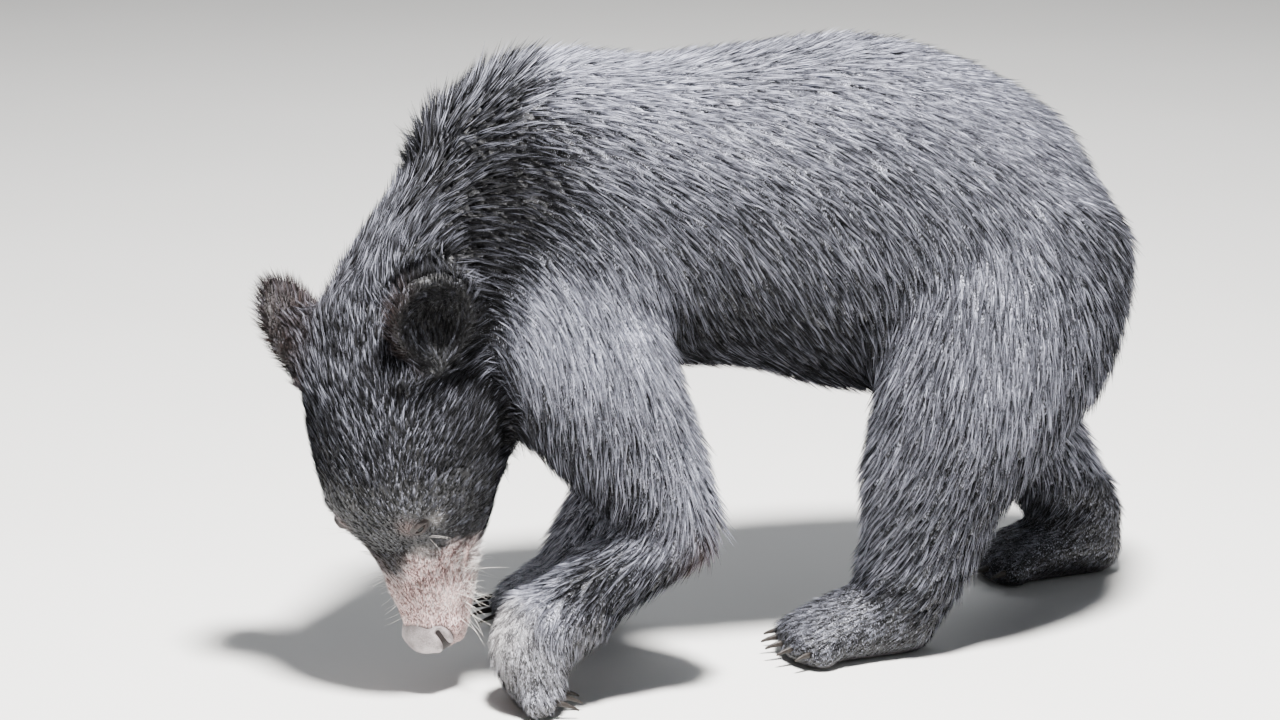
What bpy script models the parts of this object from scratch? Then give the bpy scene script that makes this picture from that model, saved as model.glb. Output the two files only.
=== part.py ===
"""Asiatic black bear at life size, head down to sniff the floor, as parted solids.

Metres, +Z up. The head points towards -X and the bear's left side towards -Y.
Every solid reaches out to the tips of the coat. The flesh is lofted from named
sections, blended into one body, then parted by thin cuts at the neck, limbs,
ears, jaw and tail. Eyes, nose pad and claws are seated in the flesh.
"""

import math

import bmesh
import bpy
import numpy as np
from mathutils import Matrix, Vector

# Driving sizes
CUT_GAP = 0.0005        # width of the cut between two parted solids
FIT_GAP = 0.0004        # clearance round an eye, the nose pad or a claw
GRAIN = 0.0060          # voxel of the remesh that blends the lofts
FINE_TRIANGLES = 4800  # how finely the face, ears and paws are kept
FLESH_TRIANGLES = 3200  # what the blended flesh is thinned to in all, before the cuts
RING_SIDES = 32
STEPS_PER_SPAN = 4      # rings put in between two named sections
CAP_STEPS = 5           # rings that round off the end of a loft
UP = Vector((0, 0, 1))
ACROSS = Vector((0, 1, 0))

# The head's own axes: forward out of the nose, left, and dorsal out of the crown.
# It hangs from the neck with its crown turned a little to the bear's left.
HEAD_LENGTH = 0.330
OCCIPUT = Vector((-0.286, -0.074, 0.363))
FORWARD = Vector((0.208, 0.020, -0.980)).normalized()
LEFT = Vector((0.580, -0.810, 0.120))
LEFT = (LEFT - LEFT.dot(FORWARD) * FORWARD).normalized()
DORSAL = FORWARD.cross(LEFT).normalized()
HEAD_AXES = Matrix((FORWARD, LEFT, DORSAL)).transposed().to_4x4()

# Head sections: (distance in front of the occiput, top, bottom, half width)
HEAD = {
    "nape": (0.000, 0.060, -0.085, 0.078),
    "crown": (0.050, 0.077, -0.092, 0.090),
    "cheeks": (0.116, 0.079, -0.093, 0.094),
    "brow": (0.162, 0.074, -0.090, 0.089),
    "eyes": (0.196, 0.062, -0.076, 0.074),
    "stop": (0.222, 0.050, -0.060, 0.059),
    "muzzle_root": (0.241, 0.042, -0.052, 0.047),
    "muzzle": (0.276, 0.040, -0.046, 0.045),
    "lips": (0.300, 0.038, -0.032, 0.041),
}
EYE_RADIUS = 0.0105
EYE_PLACE = (0.178, 0.046, 0.047)     # forward, sideways, dorsal
EYE_LOOK = (0.30, 0.70, 0.65)         # the way it looks: forward, sideways, dorsal
ORBIT_RADII = (0.022, 0.012, 0.016)   # the hollow of lids and short hair round it
ORBIT_LIFT = 0.013                    # from the eye's middle out to the hollow's
NOSE_PLACE = (0.305, 0.0, 0.017)
NOSE_RADII = (0.023, 0.031, 0.022)    # half sizes: forward, sideways, dorsal
EAR_PLACE = (-0.012, 0.096, 0.018)    # middle of the ear's cup
EAR_RADIUS = 0.049
EAR_DISH = 0.022                      # how deep the cup is
EAR_THICKNESS = 0.020
EAR_OPENING = (0.25, 0.80, 0.55)      # the way the cup faces: forward, sideways, dorsal
EAR_TIP = (-0.86, 0.38, 0.28)
EAR_ROOT = (0.040, 0.055, 0.020)      # where the root sits in the head
# Long hair under the throat and on each cheek: (place on the head, half sizes)
THROAT = ((0.085, 0.0, -0.070), (0.110, 0.082, 0.072))
CHEEK = ((0.105, 0.052, -0.028), (0.085, 0.050, 0.062))
MOUTH_LEVEL = -0.014                  # the lips' line, below the head's axis
MOUTH_CORNER = 0.218                  # how far forward the corner of the mouth is
JAW_SETBACK = 0.030                   # how far the jaw's cut leans back from there
JAW_DEPTH = 0.160                     # and how far down it runs

# Trunk sections: (x, top, bottom, half width)
TRUNK = {
    "rump": (0.437, 0.447, 0.235, 0.095),
    "croup": (0.395, 0.482, 0.218, 0.126),
    "hips": (0.326, 0.557, 0.225, 0.148),
    "loin": (0.215, 0.603, 0.246, 0.152),
    "belly": (0.110, 0.600, 0.275, 0.152),
    "ribs": (0.000, 0.594, 0.287, 0.148),
    "withers": (-0.085, 0.604, 0.288, 0.136),
    "chest": (-0.140, 0.574, 0.295, 0.116),
}
# The ball that rounds off the rump: its middle and radii
RUMP = ((0.385, 0.0, 0.385), (0.105, 0.143, 0.120))

# Lofts along a path: (x, y, z, half width across, half depth)
NECK = {
    "root": (-0.060, -0.005, 0.460, 0.135, 0.133),
    "middle": (-0.135, -0.020, 0.430, 0.124, 0.117),
    "nape": (-0.198, -0.042, 0.385, 0.112, 0.107),
    "poll": (-0.250, -0.060, 0.345, 0.098, 0.092),
}
TAIL = {
    "root": (0.462, 0.0, 0.395, 0.024, 0.020),
    "middle": (0.496, 0.0, 0.355, 0.021, 0.017),
    "tip": (0.508, 0.0, 0.315, 0.013, 0.012),
}
LIMBS = {
    "left_arm": {
        "blade": (-0.055, -0.095, 0.470, 0.050, 0.085),
        "shoulder": (-0.110, -0.116, 0.365, 0.060, 0.103),
        "arm": (-0.079, -0.132, 0.290, 0.060, 0.087),
        "above_elbow": (-0.034, -0.140, 0.218, 0.054, 0.064),
        "elbow": (-0.008, -0.142, 0.168, 0.046, 0.046),
    },
    "left_forearm": {
        "elbow": (-0.005, -0.142, 0.160, 0.050, 0.042),
        "middle": (-0.076, -0.144, 0.120, 0.046, 0.041),
        "wrist": (-0.132, -0.146, 0.082, 0.044, 0.044),
    },
    "left_hand": {
        "wrist": (-0.142, -0.146, 0.082, 0.045, 0.044),
        "knuckles": (-0.156, -0.147, 0.056, 0.049, 0.041),
        "toes": (-0.150, -0.147, 0.024, 0.049, 0.029),
    },
    "right_arm": {
        "blade": (-0.045, 0.095, 0.470, 0.050, 0.085),
        "shoulder": (-0.075, 0.114, 0.365, 0.058, 0.098),
        "arm": (-0.040, 0.126, 0.290, 0.055, 0.084),
        "above_elbow": (0.005, 0.130, 0.225, 0.052, 0.065),
        "elbow": (0.028, 0.130, 0.188, 0.048, 0.046),
    },
    "right_forearm": {
        "elbow": (0.026, 0.130, 0.186, 0.048, 0.048),
        "middle": (0.008, 0.125, 0.130, 0.043, 0.041),
        "wrist": (-0.024, 0.118, 0.072, 0.041, 0.038),
    },
    "right_hand": {
        "wrist": (-0.026, 0.117, 0.046, 0.042, 0.036),
        "palm": (-0.064, 0.114, 0.030, 0.047, 0.031),
        "toes": (-0.090, 0.112, 0.021, 0.048, 0.025),
    },
    "left_thigh": {
        "hip": (0.375, -0.070, 0.420, 0.072, 0.120),
        "thigh": (0.338, -0.103, 0.330, 0.074, 0.130),
        "knee": (0.294, -0.118, 0.245, 0.066, 0.106),
        "below_knee": (0.268, -0.114, 0.185, 0.059, 0.086),
    },
    "left_shank": {
        "below_knee": (0.268, -0.114, 0.185, 0.059, 0.086),
        "calf": (0.256, -0.102, 0.110, 0.053, 0.066),
        "ankle": (0.240, -0.090, 0.058, 0.047, 0.050),
    },
    "left_foot": {
        "heel": (0.246, -0.087, 0.037, 0.043, 0.040),
        "arch": (0.204, -0.087, 0.034, 0.045, 0.038),
        "ball": (0.160, -0.087, 0.026, 0.050, 0.029),
        "toes": (0.132, -0.087, 0.020, 0.050, 0.021),
    },
    "right_thigh": {
        "hip": (0.375, 0.070, 0.420, 0.072, 0.120),
        "thigh": (0.378, 0.098, 0.330, 0.072, 0.122),
        "knee": (0.404, 0.110, 0.235, 0.062, 0.094),
        "below_knee": (0.436, 0.112, 0.180, 0.056, 0.074),
    },
    "right_shank": {
        "below_knee": (0.436, 0.112, 0.180, 0.056, 0.074),
        "calf": (0.486, 0.110, 0.115, 0.050, 0.054),
        "ankle": (0.524, 0.106, 0.055, 0.045, 0.042),
    },
    "right_foot": {
        "heel": (0.532, 0.104, 0.035, 0.042, 0.038),
        "arch": (0.494, 0.104, 0.032, 0.045, 0.035),
        "ball": (0.450, 0.104, 0.025, 0.050, 0.028),
        "toes": (0.422, 0.104, 0.019, 0.050, 0.020),
    },
}
# Toes of each paw: (middle of their row, way they point, half the row's width, radius)
TOES = {
    "front_left": ((-0.138, -0.147, 0.0135), (0.97, 0.0, -0.15), 0.040, 0.0175),
    "front_right": ((-0.114, 0.112, 0.0130), (-1.0, 0.0, 0.00), 0.040, 0.0165),
    "hind_left": ((0.124, -0.087, 0.0150), (-1.0, 0.0, 0.00), 0.040, 0.0165),
    "hind_right": ((0.408, 0.104, 0.0150), (-1.0, 0.0, 0.00), 0.040, 0.0160),
}
TOE_FAN = 0.22                        # how far the outer toes turn outwards
TOE_STEP = 0.014                      # how far the outer toes lie behind the middle one
TOE_SETBACK = 0.008
CLAW_LENGTH = {"front": 0.025, "hind": 0.019}
CLAW_RADIUS = 0.0042
CLAW_RINGS = (0.0, 0.35, 0.70, 0.95)  # where its sections lie, as shares of its length
CLAW_TAPER = 0.7                      # how much thinner it is at the point
CLAW_DROOP = 0.22                     # how far it bends down, as a share of its length
CLAW_FLATNESS = 0.75                  # its width, as a share of its depth
CLAW_SIDES = 6
CLAW_SEAT = 0.35                      # how far ahead in the toe its root is, in toe radii
CLAW_LIFT = 0.003

# Where the mesh stays fine: the face, the ears and the paws
FACE_START = 0.10                     # how far in front of the occiput the face starts
HEAD_REAR = -0.18                     # everything of the head lies in front of this x
EAR_REACH = 1.3                       # in ear radii
PAW_TOP = 0.05

# Flat cuts in their order: (piece cut, name of what comes off, a point on the cut,
# the way towards what comes off, radius of the cutting disc)
FLAT_CUTS = (
    ("trunk", "front_left_forearm", (-0.030, -0.142, 0.175), (-0.36, 0.0, -0.93), 0.120),
    ("front_left_forearm", "front_left_paw", (-0.136, -0.146, 0.084), (-0.72, 0.0, -0.69), 0.075),
    ("trunk", "front_right_forearm", (0.010, 0.130, 0.195), (-0.10, 0.0, -1.0), 0.110),
    ("front_right_forearm", "front_right_paw", (-0.026, 0.118, 0.066), (-0.35, 0.0, -0.94), 0.070),
    ("trunk", "hind_left_shank", (0.274, -0.116, 0.200), (-0.25, 0.0, -0.97), 0.125),
    ("hind_left_shank", "hind_left_paw", (0.240, -0.090, 0.066), (-0.45, 0.0, -0.89), 0.095),
    ("trunk", "hind_right_shank", (0.430, 0.112, 0.190), (0.45, 0.0, -0.89), 0.105),
    ("hind_right_shank", "hind_right_paw", (0.510, 0.106, 0.076), (0.0, 0.0, -1.0), 0.090),
    ("trunk", "head", (-0.232, -0.050, 0.378), (-0.92, -0.15, -0.35), 0.300),
    ("trunk", "neck", (-0.165, -0.010, 0.450), (-0.966, 0.0, 0.257), 0.300),
)
# What lies inside a ball comes off: (piece cut, name, middle, radii)
ROUND_CUTS = (
    ("trunk", "front_left_upper_leg", (-0.062, -0.185, 0.250), (0.170, 0.120, 0.195)),
    ("trunk", "front_right_upper_leg", (-0.020, 0.185, 0.250), (0.165, 0.122, 0.195)),
    ("trunk", "hind_left_thigh", (0.318, -0.190, 0.265), (0.180, 0.140, 0.195)),
    ("trunk", "hind_right_thigh", (0.390, 0.190, 0.265), (0.175, 0.140, 0.195)),
    ("trunk", "tail", (0.512, 0.0, 0.345), (0.032, 0.030, 0.055)),
)


def on_head(forward, left, dorsal):
    """A point given in the head's own axes, in the model's frame."""
    return OCCIPUT + FORWARD * forward + LEFT * left + DORSAL * dorsal


def on_side(place, side):
    """A place on the head's left (side 1) or right (side -1)."""
    forward, sideways, dorsal = place
    return on_head(forward, sideways * side, dorsal)


def way_on_head(way, side):
    """A direction on the head's left or right, in the model's frame."""
    return (on_side(way, side) - OCCIPUT).normalized()


# Objects and modifiers


def new_object(name, shape):
    """A scene object holding the bmesh, which is used up."""
    mesh = bpy.data.meshes.new(name)
    shape.to_mesh(mesh)
    shape.free()
    thing = bpy.data.objects.new(name, mesh)
    bpy.context.scene.collection.objects.link(thing)
    return thing


def apply(thing, kind, **settings):
    """Bake one modifier into the object's mesh."""
    modifier = thing.modifiers.new(kind.title(), kind)
    for name, value in settings.items():
        setattr(modifier, name, value)
    bpy.context.view_layer.update()
    shown = thing.evaluated_get(bpy.context.evaluated_depsgraph_get())
    baked = bpy.data.meshes.new_from_object(shown)
    thing.modifiers.remove(modifier)
    thing.data = baked


def subtract(thing, cutter):
    """Take the cutter's volume out of the object, and drop the cutter."""
    apply(thing, "BOOLEAN", object=cutter, operation="DIFFERENCE", solver="EXACT")
    bpy.data.objects.remove(cutter)


# Lofts, balls and cups


def between(sections):
    """Rows of numbers, with Catmull-Rom steps put in between each two."""
    rows = np.array(list(sections), float)
    rows = np.vstack([2 * rows[0] - rows[1], rows, 2 * rows[-1] - rows[-2]])
    found = []
    for a, b, c, d in zip(rows, rows[1:], rows[2:], rows[3:]):
        for t in np.arange(STEPS_PER_SPAN) / STEPS_PER_SPAN:
            curve = (c - a) * t + (2 * a - 5 * b + 4 * c - d) * t**2
            curve += (3 * b - a - 3 * c + d) * t**3
            found.append(b + curve / 2)
    return np.array(found + [rows[-2]])


def ellipse(centre, side, over, width, depth, sides=RING_SIDES):
    """Points round an ellipse of these half sizes."""
    turns = [2 * math.pi * k / sides for k in range(sides)]
    return [centre + side * width * math.cos(t) + over * depth * math.sin(t) for t in turns]


def add_shell(shape, rings, first_pole, last_pole):
    """A closed shell through the rings, ended by a point at each pole."""
    loops = [[shape.verts.new(point) for point in ring] for ring in rings]
    count = len(rings[0])
    for one, two in zip(loops, loops[1:]):
        for i in range(count):
            j = (i + 1) % count
            shape.faces.new((one[i], one[j], two[j], two[i]))
    for loop, pole, turn in ((loops[0], first_pole, -1), (loops[-1], last_pole, 1)):
        tip = shape.verts.new(pole)
        for i in range(count):
            edge = (loop[i], loop[(i + 1) % count])[::turn]
            shape.faces.new((*edge, tip))


def add_loft(shape, sections, across=ACROSS, roundness=0.8, sides=RING_SIDES):
    """A limb through rows of (x, y, z, half width, half depth), with round ends."""
    rows = between(sections)
    centres = [Vector(row[:3]) for row in rows]
    frames = []
    for i, (*_, width, depth) in enumerate(rows):
        ahead = centres[min(i + 1, len(rows) - 1)] - centres[max(i - 1, 0)]
        ahead.normalize()
        side = (across - across.dot(ahead) * ahead).normalized()
        frames.append((centres[i], side, ahead.cross(side), width, depth))

    def rounded_end(frame, way):
        centre, side, over, width, depth = frame
        reach = side.cross(over) * roundness * min(width, depth) * way
        rings = []
        for step in range(1, CAP_STEPS):
            t = step / CAP_STEPS * math.pi / 2
            slim = math.cos(t)
            middle = centre + reach * math.sin(t)
            rings.append(ellipse(middle, side, over, width * slim, depth * slim, sides))
        return rings, centre + reach

    start, first_pole = rounded_end(frames[0], -1)
    end, last_pole = rounded_end(frames[-1], 1)
    body = [ellipse(*frame, sides) for frame in frames]
    add_shell(shape, start[::-1] + body + end, first_pole, last_pole)


def add_ball(shape, centre, radii, axes=Matrix.Identity(4), detail=20):
    """An ellipsoid of these half sizes, turned to the given axes."""
    place = Matrix.Translation(centre) @ axes @ Matrix.Diagonal((*radii, 1))
    rows = detail * 3 // 5
    bmesh.ops.create_uvsphere(shape, u_segments=detail, v_segments=rows, radius=1, matrix=place)


# The flesh


def ear_frame(side):
    """The ear's middle and axes: out of its opening, to its tip and across."""
    opening = way_on_head(EAR_OPENING, side)
    tip = way_on_head(EAR_TIP, side)
    tip = (tip - tip.dot(opening) * opening).normalized()
    return on_side(EAR_PLACE, side), opening, tip, tip.cross(opening)


def add_ear(shape, side):
    """A round cup that opens forward and outward, on a short root."""
    middle, opening, tip, across = ear_frame(side)
    steps = 7
    inner, outer = [], []
    for k in range(1, steps + 1):
        share = k / steps
        floor = middle + opening * EAR_DISH * (share**2 - 1)
        back = floor - opening * EAR_THICKNESS * (1 - 0.3 * share**2)
        size = EAR_RADIUS * share
        inner.append(ellipse(floor, across, tip, size * 0.95, size))
        outer.append(ellipse(back, across, tip, size * 0.95, size))
    deep = middle - opening * EAR_DISH
    add_shell(shape, inner + outer[::-1], deep, deep - opening * EAR_THICKNESS)
    root = middle - tip * EAR_RADIUS * 0.70 - opening * EAR_DISH
    seat = on_side(EAR_ROOT, side)
    add_loft(shape, ((*root, 0.036, 0.018), (*seat, 0.045, 0.034)), across)


def add_ruffs(shape):
    """Long hair on the cheeks and under the throat."""
    for (place, radii), side in ((THROAT, 1), (CHEEK, 1), (CHEEK, -1)):
        add_ball(shape, on_side(place, side), radii, HEAD_AXES)


def toe_places(paw):
    """Where each of the five toes sits, and the way it points."""
    middle, way, reach, _ = TOES[paw]
    middle, way = Vector(middle), Vector(way).normalized()
    fan = TOE_FAN if way.x < 0 else -TOE_FAN
    for k in range(-2, 3):
        share = k / 2
        turned = Matrix.Rotation(-fan * share, 3, UP) @ way
        yield middle + ACROSS * reach * share - way * TOE_STEP * share**2, turned


def add_toes(shape, paw):
    """Five round toe tips at the end of a paw."""
    radius = TOES[paw][3]
    for place, way in toe_places(paw):
        add_ball(shape, place - way * TOE_SETBACK, (radius, radius, radius))


def thin(body):
    """Thin the mesh to its budget, keeping more of it on the face, ears and paws."""
    decimate(body, FINE_TRIANGLES)
    group = body.vertex_groups.new(name="plain")
    ears = [ear_frame(side)[0] for side in (-1, 1)]
    for vertex in body.data.vertices:
        place = vertex.co
        on_face = place.x < HEAD_REAR and (place - OCCIPUT).dot(FORWARD) > FACE_START
        on_ear = any((place - ear).length < EAR_REACH * EAR_RADIUS for ear in ears)
        if not (on_face or on_ear or place.z < PAW_TOP):
            group.add([vertex.index], 1.0, "REPLACE")
    decimate(body, FLESH_TRIANGLES, vertex_group="plain")
    body.vertex_groups.clear()


def decimate(body, budget, **settings):
    """Thin the mesh to about the given number of triangles."""
    body.data.calc_loop_triangles()
    apply(body, "DECIMATE", ratio=budget / len(body.data.loop_triangles), **settings)


def blended_flesh():
    """All lofts as one smooth body, flat where it stands on the floor."""
    shape = bmesh.new()
    trunk = [(x, 0, (top + low) / 2, wide, (top - low) / 2) for x, top, low, wide in TRUNK.values()]
    add_loft(shape, trunk)
    add_ball(shape, *RUMP)
    add_loft(shape, NECK.values())
    add_loft(shape, TAIL.values())
    head = []
    for ahead, top, low, wide in HEAD.values():
        head.append((*on_head(ahead, 0, (top + low) / 2), wide, (top - low) / 2))
    add_loft(shape, head, LEFT)
    add_ruffs(shape)
    for side in (-1, 1):
        add_ear(shape, side)
    for sections in LIMBS.values():
        add_loft(shape, sections.values())
    for paw in TOES:
        add_toes(shape, paw)
    bmesh.ops.recalc_face_normals(shape, faces=shape.faces)
    body = new_object("trunk", shape)
    apply(body, "REMESH", mode="VOXEL", voxel_size=GRAIN)
    apply(body, "SMOOTH", factor=0.5, iterations=4)
    thin(body)
    floor = bmesh.new()
    bmesh.ops.create_cube(floor, size=3, matrix=Matrix.Translation((0, 0, -1.5)))
    subtract(body, new_object("floor", floor))
    return body


# Parting


def loose_parts(mesh):
    """The mesh's separate shells, each as a bmesh of its own."""
    whole = bmesh.new()
    whole.from_mesh(mesh)
    left = set(whole.verts)
    shells = []
    while left:
        edge = [left.pop()]
        shell = set(edge)
        while edge:
            for link in edge.pop().link_edges:
                for vertex in link.verts:
                    if vertex not in shell:
                        shell.add(vertex)
                        edge.append(vertex)
        left -= shell
        shells.append({vertex.index for vertex in shell})
    found = []
    for indices in shells:
        part = whole.copy()
        part.verts.ensure_lookup_table()
        others = [vertex for vertex in part.verts if vertex.index not in indices]
        bmesh.ops.delete(part, geom=others, context="VERTS")
        found.append(part)
    whole.free()
    return found


def middle_of(shape):
    """The mean of the shape's corners."""
    return sum((vertex.co for vertex in shape.verts), Vector()) / len(shape.verts)


def cutting_disc(at, way, radius):
    """A thin round plate across the given way."""
    disc = bmesh.new()
    place = Matrix.Translation(at) @ way.to_track_quat("Z", "Y").to_matrix().to_4x4()
    bmesh.ops.create_cone(
        disc, cap_ends=True, segments=24, radius1=radius, radius2=radius, depth=CUT_GAP, matrix=place
    )
    return new_object("disc", disc)


def split_in_two(pieces, name, new_name, at, way):
    """Name the two shells of a cut piece by the side of the cut they lie on."""
    shells = loose_parts(pieces[name].data)
    if len(shells) != 2:
        raise ValueError(f"cutting {new_name} off {name} left {len(shells)} shells")
    shells.sort(key=lambda shell: (middle_of(shell) - at).dot(way))
    bpy.data.objects.remove(pieces[name])
    pieces[name] = new_object(name, shells[0])
    pieces[new_name] = new_object(new_name, shells[1])


def cut_off(pieces, name, new_name, at, way, radius):
    """Part one piece in two with a cutting disc."""
    at, way = Vector(at), Vector(way).normalized()
    subtract(pieces[name], cutting_disc(at, way, radius))
    split_in_two(pieces, name, new_name, at, way)


def ball_object(centre, radii, axes=Matrix.Identity(4), detail=12):
    """An ellipsoid as an object, for a cutter or a piece."""
    shape = bmesh.new()
    add_ball(shape, centre, radii, axes, detail)
    return new_object("ball", shape)


def scoop_off(pieces, name, new_name, centre, radii, axes=Matrix.Identity(4)):
    """Part what lies inside a ball from the rest of a piece."""
    inside = pieces[name].copy()
    bpy.context.scene.collection.objects.link(inside)
    smaller = ball_object(centre, [radius - CUT_GAP for radius in radii], axes)
    apply(inside, "BOOLEAN", object=smaller, operation="INTERSECT", solver="EXACT")
    bpy.data.objects.remove(smaller)
    subtract(pieces[name], ball_object(centre, radii, axes))
    inside.name = new_name
    pieces[new_name] = inside


def scoop_off_ears(pieces):
    """Part each ear's cup from the head, with its root."""
    for side, name in ((1, "left_ear"), (-1, "right_ear")):
        middle, opening, tip, _ = ear_frame(side)
        centre = middle + tip * 0.010 - opening * EAR_DISH * 0.5
        scoop_off(pieces, "head", name, centre, [EAR_RADIUS * 1.12] * 3)


def cut_off_jaw(pieces):
    """Part the lower jaw: along the lips, then down behind the corner of the mouth."""
    thick = CUT_GAP / 2
    beyond, behind = HEAD_LENGTH + 0.07, MOUTH_CORNER - JAW_SETBACK
    outline = (
        (beyond, MOUTH_LEVEL + thick),
        (MOUTH_CORNER - thick, MOUTH_LEVEL + thick),
        (behind - thick, -JAW_DEPTH),
        (behind + thick, -JAW_DEPTH),
        (MOUTH_CORNER + thick, MOUTH_LEVEL - thick),
        (beyond, MOUTH_LEVEL - thick),
    )
    reach = 0.12
    shape = bmesh.new()
    corners = [shape.verts.new(on_head(ahead, -reach, dorsal)) for ahead, dorsal in outline]
    pushed = bmesh.ops.extrude_face_region(shape, geom=[shape.faces.new(corners)])["geom"]
    moved = [part for part in pushed if isinstance(part, bmesh.types.BMVert)]
    bmesh.ops.translate(shape, verts=moved, vec=LEFT * 2 * reach)
    bmesh.ops.recalc_face_normals(shape, faces=shape.faces)
    subtract(pieces["head"], new_object("mouth_cutter", shape))
    split_in_two(pieces, "head", "lower_jaw", on_head(MOUTH_CORNER, 0, MOUTH_LEVEL), -DORSAL)


# Eyes, nose pad and claws


def seated_ball(pieces, host, name, centre, radii, detail):
    """A ball of its own, in a seat cut into the flesh with a little clearance."""
    grown = [radius + FIT_GAP for radius in radii]
    subtract(pieces[host], ball_object(centre, grown, HEAD_AXES, detail))
    pieces[name] = ball_object(centre, radii, HEAD_AXES, detail)
    pieces[name].name = name


def add_eyes(pieces):
    """Eyeballs deep in the orbits."""
    for side, name in ((1, "left_eye"), (-1, "right_eye")):
        centre = on_side(EYE_PLACE, side)
        outward = way_on_head(EYE_LOOK, side)
        turn = outward.to_track_quat("Y", "X").to_matrix().to_4x4()
        subtract(pieces["head"], ball_object(centre + outward * ORBIT_LIFT, ORBIT_RADII, turn, 10))
        seated_ball(pieces, "head", name, centre, [EYE_RADIUS] * 3, 12)


def claw_shape(place, way, length, grown=0.0):
    """A curved claw, from its seat inside the toe to a point just over the floor."""
    shape = bmesh.new()
    down = -UP
    side = way.cross(down).normalized()
    rings = []
    for t in CLAW_RINGS:
        centre = place + way * length * t + down * CLAW_DROOP * length * t**2
        size = CLAW_RADIUS * (1 - CLAW_TAPER * t) + grown
        rings.append(ellipse(centre, side, down, size * CLAW_FLATNESS, size, CLAW_SIDES))
    point = place + way * (length + grown) + down * CLAW_DROOP * length
    add_shell(shape, rings, place - way * grown, point)
    bmesh.ops.recalc_face_normals(shape, faces=shape.faces)
    return shape


def add_claws(pieces):
    """Twenty claws, each seated in the tip of its toe."""
    for paw, (_, _, _, radius) in TOES.items():
        length = CLAW_LENGTH[paw.split("_")[0]]
        for number, (place, way) in enumerate(toe_places(paw), 1):
            root = place + way * radius * CLAW_SEAT + UP * CLAW_LIFT
            seat = claw_shape(root, way, length, FIT_GAP)
            subtract(pieces[paw + "_paw"], new_object("seat", seat))
            name = f"{paw}_claw_{number}"
            pieces[name] = new_object(name, claw_shape(root, way, length))


# Materials and the whole


def material(name, colour, roughness):
    """A plain Principled material."""
    made = bpy.data.materials.new(name)
    made.use_nodes = True
    shader = made.node_tree.nodes["Principled BSDF"]
    shader.inputs["Base Color"].default_value = (*colour, 1)
    shader.inputs["Roughness"].default_value = roughness
    return made


def paint(pieces):
    """Give each piece its material, and shade it smooth but for its cut edges."""
    looks = {
        "claw": material("claw_horn", (0.060, 0.050, 0.042), 0.40),
        "eye": material("eye", (0.020, 0.012, 0.008), 0.08),
        "nose": material("nose_pad", (0.20, 0.17, 0.17), 0.45),
        "lower_jaw": material("pale_muzzle", (0.36, 0.27, 0.22), 0.70),
    }
    coat = material("black_coat", (0.022, 0.021, 0.024), 0.55)
    for name, piece in pieces.items():
        look = next((looks[word] for word in looks if word in name), coat)
        piece.data.materials.clear()
        piece.data.materials.append(look)
        piece.data.shade_smooth()
        piece.data.set_sharp_from_angle(angle=math.radians(50))


def centre_on_floor(pieces):
    """Move the bear so that the middle of its box's base is the origin."""
    corners = [vertex.co for piece in pieces.values() for vertex in piece.data.vertices]
    shift = Vector([-(min(axis) + max(axis)) / 2 for axis in zip(*corners)][:2] + [0])
    for piece in pieces.values():
        piece.location = shift


def build():
    """Model the bear whole, part it, then seat its eyes, nose and claws."""
    for thing in list(bpy.data.objects):
        bpy.data.objects.remove(thing)
    pieces = {"trunk": blended_flesh()}
    for cut in FLAT_CUTS:
        cut_off(pieces, *cut)
    for cut in ROUND_CUTS:
        scoop_off(pieces, *cut)
    scoop_off_ears(pieces)
    cut_off_jaw(pieces)
    add_eyes(pieces)
    seated_ball(pieces, "head", "nose_pad", on_head(*NOSE_PLACE), NOSE_RADII, 14)
    add_claws(pieces)
    paint(pieces)
    centre_on_floor(pieces)


build()
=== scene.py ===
"""Asiatic black bear, life size, standing with its head down: skin, coat, eyes, nose and claws.

Metres, +Z up. The head points towards -X and the bear's left side towards -Y. One skin
stands for all the flesh, and the coat is made of solid tufts that grow from it.
"""

import math

import bmesh
import bpy
import numpy as np
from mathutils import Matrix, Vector
from mathutils.kdtree import KDTree


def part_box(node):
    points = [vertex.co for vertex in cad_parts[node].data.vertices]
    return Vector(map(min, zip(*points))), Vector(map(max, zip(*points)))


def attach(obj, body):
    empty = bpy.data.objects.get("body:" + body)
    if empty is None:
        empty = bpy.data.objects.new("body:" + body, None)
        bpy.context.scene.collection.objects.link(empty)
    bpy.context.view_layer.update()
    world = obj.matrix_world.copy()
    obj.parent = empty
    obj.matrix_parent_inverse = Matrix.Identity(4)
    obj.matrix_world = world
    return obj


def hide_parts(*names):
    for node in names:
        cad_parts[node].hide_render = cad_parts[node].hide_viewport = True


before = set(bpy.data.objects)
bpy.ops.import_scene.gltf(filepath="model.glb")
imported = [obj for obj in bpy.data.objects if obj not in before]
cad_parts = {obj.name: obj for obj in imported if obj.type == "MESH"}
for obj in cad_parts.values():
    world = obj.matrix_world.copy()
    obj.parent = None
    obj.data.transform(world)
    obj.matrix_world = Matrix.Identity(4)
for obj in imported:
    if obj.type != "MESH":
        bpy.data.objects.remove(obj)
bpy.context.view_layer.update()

# The head's own axes, which hang from the nape: forward out of the nose, left, and
# dorsal out of the forehead.
OCCIPUT = np.array((-0.3780, -0.0643, 0.3630))
FORWARD = np.array((0.208, 0.020, -0.980))
FORWARD /= np.linalg.norm(FORWARD)
LEFT = np.array((0.580, -0.810, 0.120))
LEFT -= LEFT @ FORWARD * FORWARD
LEFT /= np.linalg.norm(LEFT)
DORSAL = np.cross(FORWARD, LEFT)
HEAD_AXES = np.array((FORWARD, LEFT, DORSAL))
UP = np.array((0.0, 0.0, 1.0))

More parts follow.
